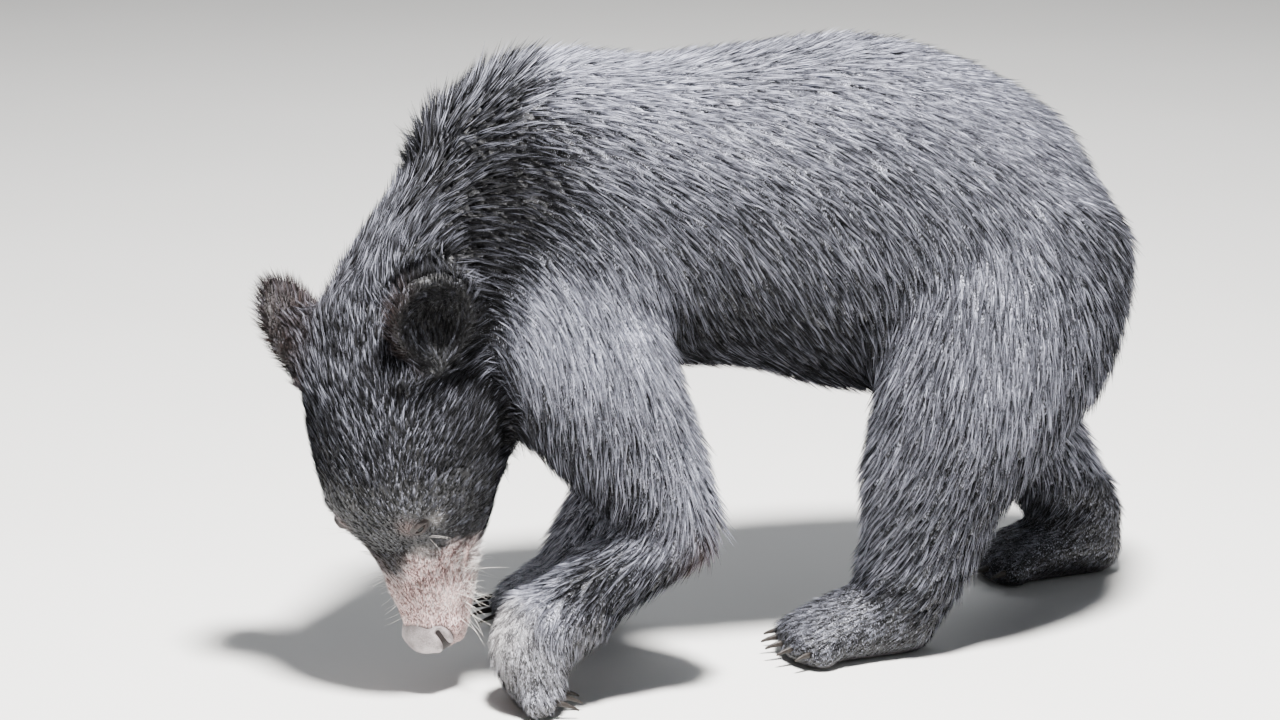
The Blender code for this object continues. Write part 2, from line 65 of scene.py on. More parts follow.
# Face, in the head's axes: (forward, sideways, dorsal)
EYE_PLACE = (0.178, 0.046, 0.047)
EYE_LOOK = (0.30, 0.70, 0.65)
EYE_RADIUS = 0.0105
EYE_SET = 0.0035  # how far the eyeball is drawn into the head
LID_CORNERS = (0.55, -0.70, 0.50)  # from the outer corner of the lids to the inner
LID_HALF_LENGTH = 0.0068
LID_SPREAD = 0.0150  # how far from the eye's middle the lids run out
ORBIT_RING = (0.024, 0.034)  # the sound skin round the orbit, which beds the lids
LID_BED = 0.0060  # how far out the lid starts to run into that bed
LID_SNAP = 0.0004  # points this near a lid's edge are moved onto it
LID_THICKNESS = 0.0013
UPPER_LID_GAP = 0.0023  # how far each lid is open, from the corners' line
LOWER_LID_GAP = 0.0019
LID_FLOOR = 0.0022  # how far the skin between the lids lies inside the eyeball
# Folds of the lids: (on the upper 1, the lower -1 or both 0, height, distance from the
# lid's edge, width)
LID_FOLDS = (
    (0, 0.0007, 0.0013, 0.0010),
    (1, -0.0011, 0.0042, 0.0011),
    (-1, -0.0007, 0.0046, 0.0013),
)
LID_OVAL = (0.0112, 0.0066)  # the bare skin of the lids: half its length and height
LID_OVAL_EDGE, NOSE_EDGE = (1.15, 0.90), (1.10, 0.98)  # hair ends between these shares
CORNEA = (0.0007, 0.0062, 0.0020)  # how far it is raised, its radius, and where it is level
NOSE_PLACE = (0.304, 0.0, 0.017)
NOSE_RADII = (0.0225, 0.0255, 0.0222)
# A nostril on a ball of one unit, from its opening in front round to the side of the pad,
# and how wide it is at its opening, at its first bend and at its end
NOSTRIL_WAY = (
    (0.70, 0.56, -0.06),
    (0.50, 0.74, 0.08),
    (0.18, 0.86, 0.28),
    (-0.20, 0.86, 0.46),
)
NOSTRIL_WIDTHS = (0.23, 0.17, 0.13)
NOSTRIL_MARKS = 25  # how many places along it are measured from
# On the pad's ball, in shares of its radius. Distances from a nostril are in its half widths
NOSTRIL_DEEP = (0.34, 0.85)  # how deep a nostril is, and its width
NOSTRIL_SHADE = (0.12, 0.26)  # the depths between which painted shade darkens it
NOSE_WING = (0.06, 1.7, 0.5)  # the wing round it: height, distance and width
NOSE_GROOVE = (0.11, 0.045, (0.25, -0.25), (0.0, 0.35))  # depth, width, downwards and forwards
NOSE_FLAT = (0.12, (0.70, 1.0))  # how much the front is flattened, and from where to where
MOUTH_LEVEL = -0.014
MOUTH_CORNER = 0.218
MOUTH_RISE = (0.007, 0.270)  # how far the lips' line rises to its corner, and from where
# What the mouth pushes out or in: (amount, how far over the line, width)
LIPS = ((0.0018, 0.0055, 0.0040), (0.0010, -0.0050, 0.0035), (-0.0036, 0.0, 0.0015))
MOUTH_FADE = (-0.006, 0.004)  # the lips set in from behind the corner to ahead of it
MOUTH_FOLD = (-0.0016, 0.0050, 0.003)  # the fold behind the corner: amount, reach and how far
# Mounds and hollows of the face: (forward, aside, least dorsal, amount, reach)
FACE_MOUNDS = (
    (0.160, 0.040, 0.02, 0.0022, 0.016),  # the brow
    (0.202, 0.033, 0.01, -0.0024, 0.013),  # the hollow before the eye
)
# Where the face is drawn in: along the forehead's middle (amount, how far forward, reach,
# half width, least dorsal),
STOP_DIP = (-0.0020, 0.150, 0.045, 0.010, 0.03)
# on the muzzle's sides beside the nose (amount, from where to where forward, and aside)
NOSTRIL_SLOPE = (-0.0060, (0.252, 0.292), (0.012, 0.030))
# and on its sides where it starts (amount, how far forward, reach, from where to where aside)
MUZZLE_DIP = (-0.0045, 0.224, 0.020, (0.016, 0.034))
# Each ear, the left (side 1) and the right: its place, and the ways to its opening and its tip
EARS = {
    1: ((-0.012, 0.096, 0.018), (0.25, 0.80, 0.55), (-0.86, 0.38, 0.28)),
    -1: ((0.000, 0.092, 0.020), (0.22, 0.90, 0.28), (-0.84, 0.34, 0.36)),
}
EAR_RADIUS = 0.041
EAR_SHAPE = (0.90, 1.04)  # how broad and how tall the ear is, against that radius
EAR_DISH = 0.017  # how deep the cup of the ear is
EAR_THICKNESS = 0.013
EAR_TURNS, EAR_RINGS = 36, 9  # points round the ear, and rings from hollow to rim
EAR_HOLLOW = 0.12  # the first ring's share of the ear's radius
EAR_FLARE = 0.75  # how far the back of the ear spreads at its rim
EAR_ROOT = (0.034, 0.060, 0.018)  # where the ear's root sits in the head
EAR_ROOT_RADIUS = 0.029
ROOT_TURNS, ROOT_RINGS = 24, 5
ROOT_TOP = (0.55, 0.5)  # its start: ear radii under the middle, and thicknesses back
ROOT_WIDE, ROOT_DEEP = (1, 0.35), (0.45, 0.5)  # at its start, and how much more at its seat
EAR_FILL = (-0.030, 0.066)  # how far back and aside the ears' solids fill out the head
EAR_CLEARANCE = (0.004, 0.060)  # how far the neck draws back behind the ears, and its reach
EAR_FAN = 0.048  # how far under the ear's middle its hair fans out from
EAR_REACH = 0.12  # all of an ear lies nearer than this to that place
EAR_RIM = (0.032, 0.042, 0.07)  # from the ear's middle: where the rim starts, is full, and ends
EAR_RIM_LIFT = 25  # how many degrees steeper the hair stands on the rim,
EAR_RIM_FACING = (0.3, 0.9)  # setting in as it faces out along the fan

# The coat of each part of the body: (depth over the skin, length of its hair,
# width of a strand, how steeply it stands in degrees)
COAT = {
    "trunk": (0.0100, 0.027, 0.00060, 16),
    "neck": (0.0140, 0.034, 0.00062, 22),
    "head": (0.0080, 0.020, 0.00056, 15),
    "jaw": (0.0030, 0.010, 0.00036, 18),
    "ear": (0.0028, 0.017, 0.00038, 30),
    "tail": (0.0080, 0.032, 0.00062, 22),
    "arm": (0.0100, 0.027, 0.00060, 18),
    "forearm": (0.0085, 0.023, 0.00060, 20),
    "forepaw": (0.0035, 0.013, 0.00040, 18),
    "thigh": (0.0100, 0.027, 0.00060, 18),
    "shank": (0.0090, 0.025, 0.00060, 22),
    "hindpaw": (0.0035, 0.012, 0.00040, 17),
}
PARTS = list(COAT)
# On the face, the same from the crown over the brow to the muzzle and the nose
FACE_STATIONS = (0.04, 0.15, 0.235, 0.30)
FACE_DEPTH = (0.010, 0.005, 0.0022, 0.0022)
FACE_LENGTH = (0.019, 0.012, 0.0085, 0.0046)
FACE_WIDTH = (0.00058, 0.00044, 0.00032, 0.00026)
CHEEK_LONGER = 0.010
CHEEK_SIDE = ((0.035, 0.075), (0.24, 0.17))  # from where to where aside, and backwards
CHEEK_RUFF = ((0.02, -0.05), (0.20, 0.14))  # where its hair is longer: downwards, and backwards
CHEEK_LIE = (0.75, 0.3)  # how far the cheek's hair lies down and outwards
TRUNK_LIE = (0.35, 0.08)  # how far the trunk's hair lies aside, fully from here on
LIE_ROUNDS = 6
EYE_DEPTH = (0.0015, 0.008, 0.020, 0.050)  # at the eye, more beyond, from where to where
EYE_HAIR = (0.018, 0.72, 0.35)  # reach, and by what share hair is shorter and thinner
LOW_HAIR = (0.002, 0.030, 0.35)  # near the ground hair is shorter, down to this share
LOW_DEPTH = (-0.004, 0.030)  # between these heights the coat grows to its depth
SOLE_HEIGHTS, SOLE_FACING = (0.010, 0.003), (-0.5, -0.8)  # where the bare soles start
# The part of the body that a CAD node belongs to, by a word in its name
PART_WORDS = {
    "trunk": "trunk",
    "neck": "neck",
    "head": "head",
    "nose_pad": "head",
    "lower_jaw": "jaw",
    "_ear": "ear",
    "tail": "tail",
    "upper_leg": "arm",
    "forearm": "forearm",
    "thigh": "thigh",
    "shank": "shank",
}
# Where hair is longer and stands out more: (place, reach, longer by, steeper by)
FACE_RUFFS = (
    ((0.238, 0.052, 0.000), 0.016, 0.016, 36),  # the corner of the mouth
    ((0.268, 0.042, 0.000), 0.014, 0.004, 26),  # along the upper lip
    ((0.250, 0.044, -0.020), 0.016, 0.004, 16),  # the lower lip
    ((0.214, 0.030, 0.040), 0.014, 0.003, 8),  # where the pale muzzle starts
    ((0.175, 0.063, 0.041), 0.009, 0.005, 22),  # behind the eye
)
RUFFS = (
    ((-0.230, -0.02, 0.500), 0.085, 0.008, 16),  # nape
    ((-0.085, -0.150, 0.180), 0.028, 0.010, 14),  # near elbow
    ((-0.060, 0.135, 0.190), 0.030, 0.020, 12),  # far elbow
)
# Browner hair, and on the far ear brown that is also painted light from behind it: (place, reach, how
# brown)
BROWN_AND_BACKLIT_PLACES = (
    ((-0.085, -0.150, 0.150), 0.024, 0.40),
    ((-0.420, 0.040, 0.300), 0.030, 0.50),  # the far cheek
    ((-0.447, -0.002, 0.350), 0.045, 0.18),  # the far ear: brownish hair with painted backlight
)
# The same on both sides of the face, and there also whiter hair: (place, reach, how much)
FACE_BROWN = (
    ((0.177, 0.039, 0.055), 0.009, 0.50),  # round the eye
    ((0.242, 0.042, 0.014), 0.010, 0.26),  # the lip under the muzzle's side
    ((0.246, 0.019, 0.034), 0.0048, 0.85),  # a spot of bare skin
    ((0.256, -0.003, 0.036), 0.015, 0.52),  # down the bridge
    ((0.280, 0.000, 0.034), 0.010, 0.36),
    ((0.222, 0.014, 0.042), 0.010, 0.24),
)
FACE_WHITE = (
    ((0.175, 0.063, 0.042), 0.0065, 0.16),  # behind the eye
    # Pale hair on the side of the muzzle, with a painted highlight on it
    ((0.270, 0.037, 0.014), 0.013, 0.92),
    ((0.240, 0.053, 0.000), 0.014, 0.98),  # the corner of the mouth
    ((0.215, 0.034, 0.038), 0.010, 0.40),
)
# tan, white, brown and grey are markings of the hair; the last is painted sheen, where light falls on
# the coat
MARKS = ("tan", "white", "brown", "grey", "painted_sheen")
PALE_START = 0.212  # where the pale muzzle starts,
PALE_WEDGE = (0.007, 0.021, 0.026)  # the dark wedge: off the middle, half width and length,
PALE_UNDER = (0.018, (0.0, -0.040))  # how much further forward it starts under the jaw,
PALE_EDGE = (0.006, 0.010, 0.014)  # how soft it is behind, in front, and more on the wedge,
PALE_WAVE = 0.003  # and how wavy
PALE_WAVES = ((210, 0, 0), (0, 260, 1.0), (700, 500, 0))  # radians a metre aside and up, and shift
# How white the lips are, and from where to where forward and in height
WHITE_LIP = (0.85, (0.228, 0.246), (0.008, -0.014))
PALE_AND_LIT_WRIST = ((-0.280, -0.140, 0.085), 0.036)  # the pale top of the near forepaw: greyish hair, made paler by painted sunlight
GREY_AMOUNTS = (0.85, 0.12)  # how grey that is, and how grey the whole forepaw
GREY_PAW = (0.3, 0.9)  # between these shares of the paw it sets in at the wrist
EAR_BROWN, EAR_RIM_SHEEN = 0.08, 0.34  # how brown the ears' rims are, and how much painted sheen their fringe has
# From where to where, from the ear's middle: the brown upwards, and the painted sheen of the fringe
# to the tip, out of the opening and upwards
BROWN_UPWARDS = (0.005, 0.030)
FRINGE_TO_TIP, FRINGE_OUTWARDS, FRINGE_UPWARDS = (0.010, 0.036), (-0.02, 0.01), (0.0, 0.025)
EAR_SHADE = (0.95, 0.034)  # how dark the painted shadow under the ears is, and how far it reaches
# How much less painted sheen the coat of some parts has; then the painted sheen's share where the
# skin faces down, and what is added where it faces aside and up, towards the light from above
LESS_SHEEN = {"head": 0.66, "jaw": 0.66, "neck": 0.70, "ear": 0.97, "hindpaw": 0.35}
SHEEN_UNDER, SHEEN_BESIDE, SHEEN_OVER = 0.28, 0.48, 0.24
FACES_ASIDE, FACES_UP = (-0.80, 0.0), (0.0, 0.75)
# Where the coat has more painted sheen, or with a minus less, which paints shade and cast shadow:
# (place, reach, how much)
SHEEN_AND_SHADOW_PLACES = (
    ((-0.262, -0.095, 0.485), 0.076, -0.95),  # painted shade on the side of the neck
    ((-0.299, -0.133, 0.250), 0.055, -0.97),  # painted shadow on the cheek under the ear
    ((-0.284, -0.127, 0.262), 0.034, -0.90),  # and its edge
    ((-0.036, -0.115, 0.360), 0.035, -0.35),  # painted shade behind the elbow
    ((-0.342, -0.139, 0.298), 0.022, 0.70),  # a painted highlight on the top of the cheek
    ((-0.403, -0.112, 0.239), 0.040, 0.45),  # painted sheen on the forehead
    ((-0.246, -0.147, 0.378), 0.045, 0.60),  # painted sheen on the neck behind the ear
    ((-0.180, -0.165, 0.350), 0.090, 0.25),  # painted sheen on the upper arm and shoulder
    ((0.255, -0.165, 0.385), 0.075, 0.06),  # painted sheen on the hip
    ((0.235, -0.185, 0.280), 0.070, 0.24),  # painted sheen on the thigh under it
    ((0.420, -0.130, 0.350), 0.110, -0.42),  # painted shade on the back of the rump
    ((-0.098, -0.165, 0.215), 0.045, 0.30),  # painted sheen on the elbow's side of the forearm
    ((-0.192, -0.165, 0.132), 0.034, -0.65),  # painted shadow on the top of the forearm, over the wrist
    ((0.020, 0.000, 0.600), 0.140, -0.15),  # less painted sheen along the back
)
CRESCENT_LOW = 0.300  # the pale mark on the chest: its lowest point,
CRESCENT_RISE = 0.60  # how it rises to each side,
CRESCENT_WIDTH = 0.016  # half its width,
CRESCENT_REACH, CRESCENT_FACING = 0.11, (-0.25, -0.55)  # how far aside, and facing forward
# Coat pieces, each on its own patch of the skin, with the distance between its tufts
COAT_PIECES = {
    "coat_flank_front_left": 0.0047,
    "coat_flank_front_right": 0.0048,
    "coat_flank_rear_left": 0.0047,
    "coat_flank_rear_right": 0.0048,
    "coat_neck": 0.0046,
    "coat_head_left": 0.0030,
    "coat_head_right": 0.0032,
    "coat_muzzle": 0.0021,
    "coat_ears": 0.0024,
    "coat_paws": 0.0031,
    "coat_front_leg_left": 0.0046,
    "coat_front_leg_right": 0.0047,
    "coat_hind_leg_left": 0.0047,
    "coat_hind_leg_right": 0.0048,
}
LIMBS = ("front_left", "front_right", "hind_left", "hind_right")
# Whiskers: (how many a side, lowest and highest place on the head, length, and the way
# they leave: how much out of the skin, forward and aside)
WHISKERS = (
    (16, (0.245, 0.028, -0.020), (0.300, 0.045, 0.010), 0.038, (1.0, 0.35, 0.0)),
    (14, (0.234, 0.044, -0.010), (0.272, 0.052, 0.012), 0.026, (1.0, 0.10, 0.4)),
    (12, (0.225, 0.004, -0.050), (0.290, 0.034, -0.030), 0.030, (1.0, 0.35, 0.0)),
    (3, (0.186, 0.044, 0.034), (0.197, 0.056, 0.046), 0.032, (0.35, -0.25, 0.9)),
    (5, (0.164, 0.058, 0.036), (0.180, 0.066, 0.046), 0.014, (0.40, -0.80, 0.3)),
)
WHISKER_SEED = 3
WHISKER_STEPS, WHISKER_SIDES = 6, 5
WHISKER_TAPER = 0.85
WHISKER_THICK = 0.0060  # how thick a whisker is, as a share of its length
WHISKER_SPREAD, WHISKER_SWAY = 0.22, 0.08  # how much their ways and their droop differ
WHISKER_LENGTHS = (0.6, 1.1)
WHISKER_DROOP = (0.15, 0.10)  # how far they bend back, and down
WHISKER_ROOT = 0.001  # how far its root lies under the skin
# Hair: black and the painted glints of its sheen, then each marking's colour and its darker hairs
HAIR_COLOURS = {
    "deep": (0.0025, 0.0025, 0.0030),
    "painted_glint": (0.780, 0.805, 0.980),
    "grey": (0.640, 0.620, 0.620),
    "dark_grey": (0.090, 0.088, 0.092),
    "brown": (0.240, 0.150, 0.130),
    "dark_brown": (0.030, 0.015, 0.012),
    "tan": (0.940, 0.865, 0.855),
    "dark_tan": (0.150, 0.092, 0.090),
    "white": (0.960, 0.940, 0.920),
    "dark_white": (0.520, 0.460, 0.440),
}
# How the painted glints of sheen show where the coat has none of the painted sheen and where it has
# most: the power that a hair's tint is raised to, and the strength
GLINT_RARITY, GLINT_STRENGTH = (8.5, 1.0), (0.12, 1.0)
ROOT_SHADE = (0.8, 0.12)  # how far up a hair painted shade darkens it, as deep in the coat, and how dark at its root
PARTING = (0.30, 0.70)  # the tints between which a coloured hair turns from dark
HAIR_DULLNESS = (0.70, 0.48)  # the roughness of hair without painted sheen and of hair with the most
HAIR_ROUGHER = 0.06  # how much that varies from hair to hair
# The colours of everything else. Blush is what the skin under pale hair is tinted with.
COLOURS = {
    "blush": (0.95, 0.74, 0.72),
    "sole": (0.022, 0.019, 0.019),
    "lid": (0.014, 0.008, 0.007),
    "pupil": (0.002, 0.002, 0.002),
    "dark_iris": (0.006, 0.003, 0.002),
    "iris": (0.018, 0.008, 0.005),
    "eye_rim": (0.018, 0.010, 0.008),
    "dark_nose": (0.120, 0.098, 0.100),
    "nose": (0.420, 0.370, 0.370),
    "nostril_shade": (0.010, 0.006, 0.006),
    "dark_horn": (0.007, 0.006, 0.006),
    "horn": (0.030, 0.024, 0.020),
    "whisker": (0.82, 0.78, 0.74),
}
FLOOR_COLOURS = ((0.62, 0.615, 0.60), (0.67, 0.665, 0.65))
# How far from the middle of the eye the pupil and the iris end
PUPIL_EDGE, IRIS_EDGE = (0.0024, 0.0030), (0.0058, 0.0066)
LOOK_AT = (-0.0920, 0.0097, 0.2910)
CAMERA_AZIMUTH, CAMERA_ELEVATION, CAMERA_DISTANCE = -18.0, 14.0, 4.0
CAMERA_SPAN = 1.2416  # what the view is wide at the bear
SENSOR = 36.0  # millimetres
# Lights: (azimuth, elevation, distance, size, watts, colour)
LIGHTS = {
    "sun_side": (-8, 66, 3.2, 0.5, 850, (1.0, 0.98, 0.96)),
    "fill": (20, 25, 4.0, 3.0, 12, (0.90, 0.95, 1.0)),
    "back": (160, 45, 3.6, 2.0, 60, (0.95, 0.97, 1.0)),
}
SKY_COLOUR, SKY_STRENGTH = (0.90, 0.94, 1.0), 0.18
FLOOR_CORNERS = ((-40, -40, 0), (40, -40, 0), (40, 40, 0), (-40, 40, 0))
TRUNK_MIDDLE = 0.040  # where the coat of the flanks is parted, and that of the head
MUZZLE_START = 0.210
# Tufts of strong hair and of fine hair: (strands, half the tuft's width in strand widths)
TUFT_KINDS = ((9, 5.2), (5, 2.8))
TUFT_FORMS = 5  # how many forms each kind of tuft has
FINE_HAIR = 0.00046  # hair thinner than this grows in the smaller tufts
SAME_TINT = 3  # how many neighbouring strands share a tint
# A strand: how far its root reaches back and under the skin and half its width, how far up
# its middle is and half its width, and how high its tip is: a share of the middle, and more
STRAND_ROOT, STRAND_MIDDLE, STRAND_TIP = (0.04, 0.030, 0.55), (0.46, 0.50), (0.75, 0.010)
# How strands differ: from where to where each of these lies
MIDDLE_SWAY, TIP_SWAY = (-0.7, 0.7), (-1.1, 1.1)
ROOT_BACK, ROOT_ASIDE = (0.0, 0.16), (-0.4, 0.4)
STRAND_LENGTHS, STRAND_ARCH = (0.70, 1.06), (0.03, 0.08)
LANE_MIDDLE, LANE_TIP = 0.75, 0.40  # how far strands stay apart in the middle and at the tip
# Where a strand's rings and tip lie in its lane of the tuft's patch, and each ring's corners
RING_PLACES, TIP_PLACE, LANE_PLACES = (0.05, 0.50), 0.95, (-0.4, 0.4, 0.0)
STRAND_RIDGE = 0.018  # how thick a strand is, as a share of its length
FORM_SEED = 7
COAT_SEED, SEED_STEP = 100, 10  # the first piece's seed, and the step from piece to piece
TUFT_CROWDING = 2.4  # how many places are tried in a square of the spacing
STRAND_STEP = 0.41  # parts the tints of the strands of a tuft of strong hair
# What the coat reads from the skin and doesn't keep
SKIN_ONLY = ("flow", "hair_length", "hair_width", "hair_lift", "cover", "bare")
# The inputs of the tree that grows the tufts
TUFT_INPUTS = {
    "Patch": ("NodeSocketInt", 0),
    "Spacing": ("NodeSocketFloat", 0.005),
    "Seed": ("NodeSocketInt", 1),
    "Size Spread": ("NodeSocketFloat", 0.28),
    "Turn": ("NodeSocketFloat", 0.18),
    "Pitch": ("NodeSocketFloat", 0.10),
    "Roll": ("NodeSocketFloat", 0.45),
    "Lock Size": ("NodeSocketFloat", 0.024),
    "Lock Pull": ("NodeSocketFloat", 0.24),
    "Patch Size": ("NodeSocketFloat", 0.003),
    "Fine Hair": ("NodeSocketFloat", FINE_HAIR),
    "Material": ("NodeSocketMaterial", None),
}
SKIN_MAP = "SkinMap"
OUTLINE_VOXEL = 0.0046
SKIN_VOXEL = 0.0043
SKIN_KEPT = 0.25  # share of the skin's faces left once it is thinned,
SKIN_PLAIN = 0.15  # where less than this share of it is head or ear
SINK_ROUNDS, SKIN_ROUNDS = 4, 2  # how far the drawn-in outline and the skin are smoothed
# Finer faces, in turn: (ahead of where on the face, or how near the eye, rounds of smoothing)
FACE_FINER = ((0.12, 0.050, 2), (0.22, 0.030, 2), (1.0, 0.019, 1))
SAME_PLACE = 1e-5  # points nearer than this are one
GAP_FILL = 0.0006  # how far parted solids are grown to meet again
BLEND_ROUNDS = 14  # how softly one part's sizes run into the next
CLAW_TOES = range(1, 6)
# The ways the hair lies on the trunk, the neck and the tail
TRUNK_WAY = np.array((1.0, 0.0, -0.70))
NECK_WAY = np.array((0.90, 0.05, -0.45))
TAIL_WAY = np.array((0.15, 0.0, -1.0))


# Plain helpers


def smooth_step(low, high, value):
    """0 below low, 1 above high, and an even S between them."""
    share = np.clip((value - low) / (high - low), 0, 1)
    return share * share * (3 - 2 * share)


def bell(value, width):
    return np.exp(-((value / width) ** 2))


def far_from(points, place):
    """How far each point is from a place."""
    return np.linalg.norm(points - np.array(place), axis=1)


def near_to(points, place, reach):
    """1 at a place, fading out over its reach."""
    return bell(far_from(points, place), reach)


def between(low, high, share):
    """A value that runs from low to high by a share."""
    return low * (1 - share) + high * share


def unit(vectors):
    return vectors / np.maximum(np.linalg.norm(vectors, axis=-1, keepdims=True), 1e-9)


def on_head(place, side=1):
    """A place in the head's axes, on its left (side 1) or right (side -1)."""
    forward, sideways, dorsal = place
    return OCCIPUT + FORWARD * forward + LEFT * sideways * side + DORSAL * dorsal


def way_on_head(way, side=1):
    return unit(on_head(way, side) - OCCIPUT)


def on_both_sides(rows):
    """Rows that start with a place on the head, once for its left side and once for its right."""
    return [(on_head(place, side), *rest) for place, *rest in rows for side in (1, -1)]


def in_head(points):
    """Points in the head's axes, as columns forward, left and dorsal."""
    return (points - OCCIPUT) @ HEAD_AXES.T


def new_object(name, mesh):
    made = bpy.data.objects.new(name, mesh)
    bpy.context.scene.collection.objects.link(made)
    return made


def shape_of(*meshes):
    """The faces of some meshes, in one shape to edit."""
    shape = bmesh.new()
    for mesh in meshes:
        shape.from_mesh(mesh)
    return shape


def written(shape, mesh):
    """Put an edited shape in a mesh, or in a new one of that name."""
    if isinstance(mesh, str):
        mesh = bpy.data.meshes.new(mesh)
    shape.to_mesh(mesh)
    shape.free()
    return mesh


def mesh_from(name, points, faces):
    mesh = bpy.data.meshes.new(name)
    mesh.from_pydata([tuple(point) for point in points], [], [tuple(face) for face in faces])
    mesh.update()
    return mesh


def rows_of(items, word):
    """One vector of each item of a mesh, as rows."""
    found = np.empty(len(items) * 3, np.float32)
    items.foreach_get(word, found)
    return found.reshape(-1, 3).astype(float)


def points_of(mesh):
    return rows_of(mesh.vertices, "co")


def normals_of(mesh):
    return rows_of(mesh.vertex_normals, "vector")


def move_points(mesh, points):
    mesh.vertices.foreach_set("co", points.astype(np.float32).ravel())
    mesh.update()


def edges_of(mesh):
    found = np.empty(len(mesh.edges) * 2, np.int32)
    mesh.edges.foreach_get("vertices", found)
    return found.reshape(-1, 2)


def evened(values, edges, rounds):
    """Values at the vertices, each drawn halfway to its neighbours' mean, round after round."""
    count = len(values)
    here = np.concatenate((edges[:, 0], edges[:, 1]))
    there = np.concatenate((edges[:, 1], edges[:, 0]))
    near = np.maximum(np.bincount(here, minlength=count), 1)[:, None]
    table = np.array(values, float).reshape(count, -1)
    for _ in range(rounds):
        mean = np.stack([np.bincount(here, column[there], count) for column in table.T], 1)
        table += (mean / near - table) * 0.5
    return table.reshape(np.shape(values))


def baked(source, name):
    """The object's mesh with its modifiers applied, in a new object. The old one goes."""
    seen = source.evaluated_get(bpy.context.evaluated_depsgraph_get())
    mesh = bpy.data.meshes.new_from_object(seen)
    mesh.name = name
    bpy.data.objects.remove(source)
    return new_object(name, mesh)


def remeshed(source, name, voxel):
    step = source.modifiers.new("blend", "REMESH")
    step.mode = "VOXEL"
    step.voxel_size = voxel
    step.use_smooth_shade = True
    return baked(source, name)


def largest_shell(mesh):
    """Keep the biggest connected shell only, so that nothing floats inside the skin."""
    shape = shape_of(mesh)
    left, best = set(shape.verts), []
    while left:
        seed = left.pop()
        shell, front = [seed], [seed]
        while front:
            for edge in front.pop().link_edges:
                for vert in edge.verts:
                    if vert in left:
                        left.discard(vert)
                        shell.append(vert)
                        front.append(vert)
        best = max(best, shell, key=len)
    keep = set(best)
    gone = [vert for vert in shape.verts if vert not in keep]
    bmesh.ops.delete(shape, geom=gone, context="VERTS")
    written(shape, mesh)


def put_attribute(mesh, name, values, kind="FLOAT", domain="POINT"):
    made = mesh.attributes.new(name, kind, domain)
    word = {"FLOAT": "value", "INT": "value", "FLOAT_VECTOR": "vector"}[kind]
    made.data.foreach_set(word, np.ascontiguousarray(values).ravel())


# The skin


def part_of(node):
    """Which part of the body a flesh node belongs to."""
    for word, part in PART_WORDS.items():
        if word in node:
            return part
    return "forepaw" if node.startswith("front") else "hindpaw"


def flesh_nodes():
    return [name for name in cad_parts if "eye" not in name and "claw" not in name]


def grown_copy(node):
    """The node's points and faces, merged and grown a little so that the cuts close."""
    shape = shape_of(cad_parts[node].data)
    bmesh.ops.remove_doubles(shape, verts=shape.verts, dist=SAME_PLACE)
    shape.normal_update()
    points = np.array([vert.co + vert.normal * GAP_FILL for vert in shape.verts])
    faces = [[vert.index for vert in face.verts] for face in shape.faces]
    shape.free()
    if node.endswith("_ear"):
        points = pressed(points)
    return points, faces


def pressed(points):
    """An ear's points held back to the side of the head, where they only fill it out."""
    back, aside = EAR_FILL
    local = in_head(points)
    local[:, 0] = np.maximum(local[:, 0], back)
    local[:, 1] = np.clip(local[:, 1], -aside, aside)
    return OCCIPUT + local @ HEAD_AXES


def middle_of(*nodes):
    """The middle of the boxes of some CAD nodes."""
    return np.mean([np.array(corner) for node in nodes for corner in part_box(node)], axis=0)


def hair_way(node):
    """The way the hair of a flesh node lies, before it is laid flat on the skin."""
    limb, _, name = node.rpartition("_")
    if name == "paw":
        return middle_of(*(f"{limb}_claw_{toe}" for toe in CLAW_TOES)) - middle_of(node)
    for upper, lower in (("upper_leg", "forearm"), ("thigh", "shank")):
        if node.endswith(upper):
            return middle_of(node.replace(upper, lower)) - middle_of(node)
        if node.endswith(lower):
            return middle_of(node.replace(lower, "paw")) - middle_of(node)
    if node.endswith("_ear"):
        side = 1 if node.startswith("left") else -1
        return way_on_head(EARS[side][2], side)
    return {"trunk": TRUNK_WAY, "neck": NECK_WAY, "tail": TAIL_WAY}.get(node, -FORWARD)


def outline_of_flesh():
    """One closed mesh of the whole outline. Returns it with the table of each vertex: its
    share of each part, then the way its hair lies."""
    points, faces, rows = [], [], []
    for node in flesh_nodes():
        more, loops = grown_copy(node)
        faces += [[corner + len(points) for corner in loop] for loop in loops]
        points += list(more)
        part = "head" if node.endswith("_ear") else part_of(node)
        share = np.eye(len(PARTS))[PARTS.index(part)]
        rows += [np.concatenate((share, unit(hair_way(node))))] * len(more)
    whole = new_object("outline", mesh_from("outline", points, faces))
    outline = remeshed(whole, "outline", OUTLINE_VOXEL)
    largest_shell(outline.data)
    table = looked_up(points_of(outline.data), lookup_of(points), np.array(rows))
    return outline, evened(table, edges_of(outline.data), BLEND_ROUNDS)


def of_part(shares, column):
    """A size from the coat table at each vertex, blended by the shares."""
    return shares[:, : len(PARTS)] @ np.array([COAT[part][column] for part in PARTS])


def share_of(shares, *parts):
    """How far each vertex belongs to the named parts, from 0 to 1."""
    return np.clip(sum(shares[:, PARTS.index(part)] for part in parts), 0, 1)


def on_face(ahead, sizes):
    """A size that runs from the crown over the brow to the muzzle and the nose."""
    return np.interp(ahead, FACE_STATIONS, sizes)


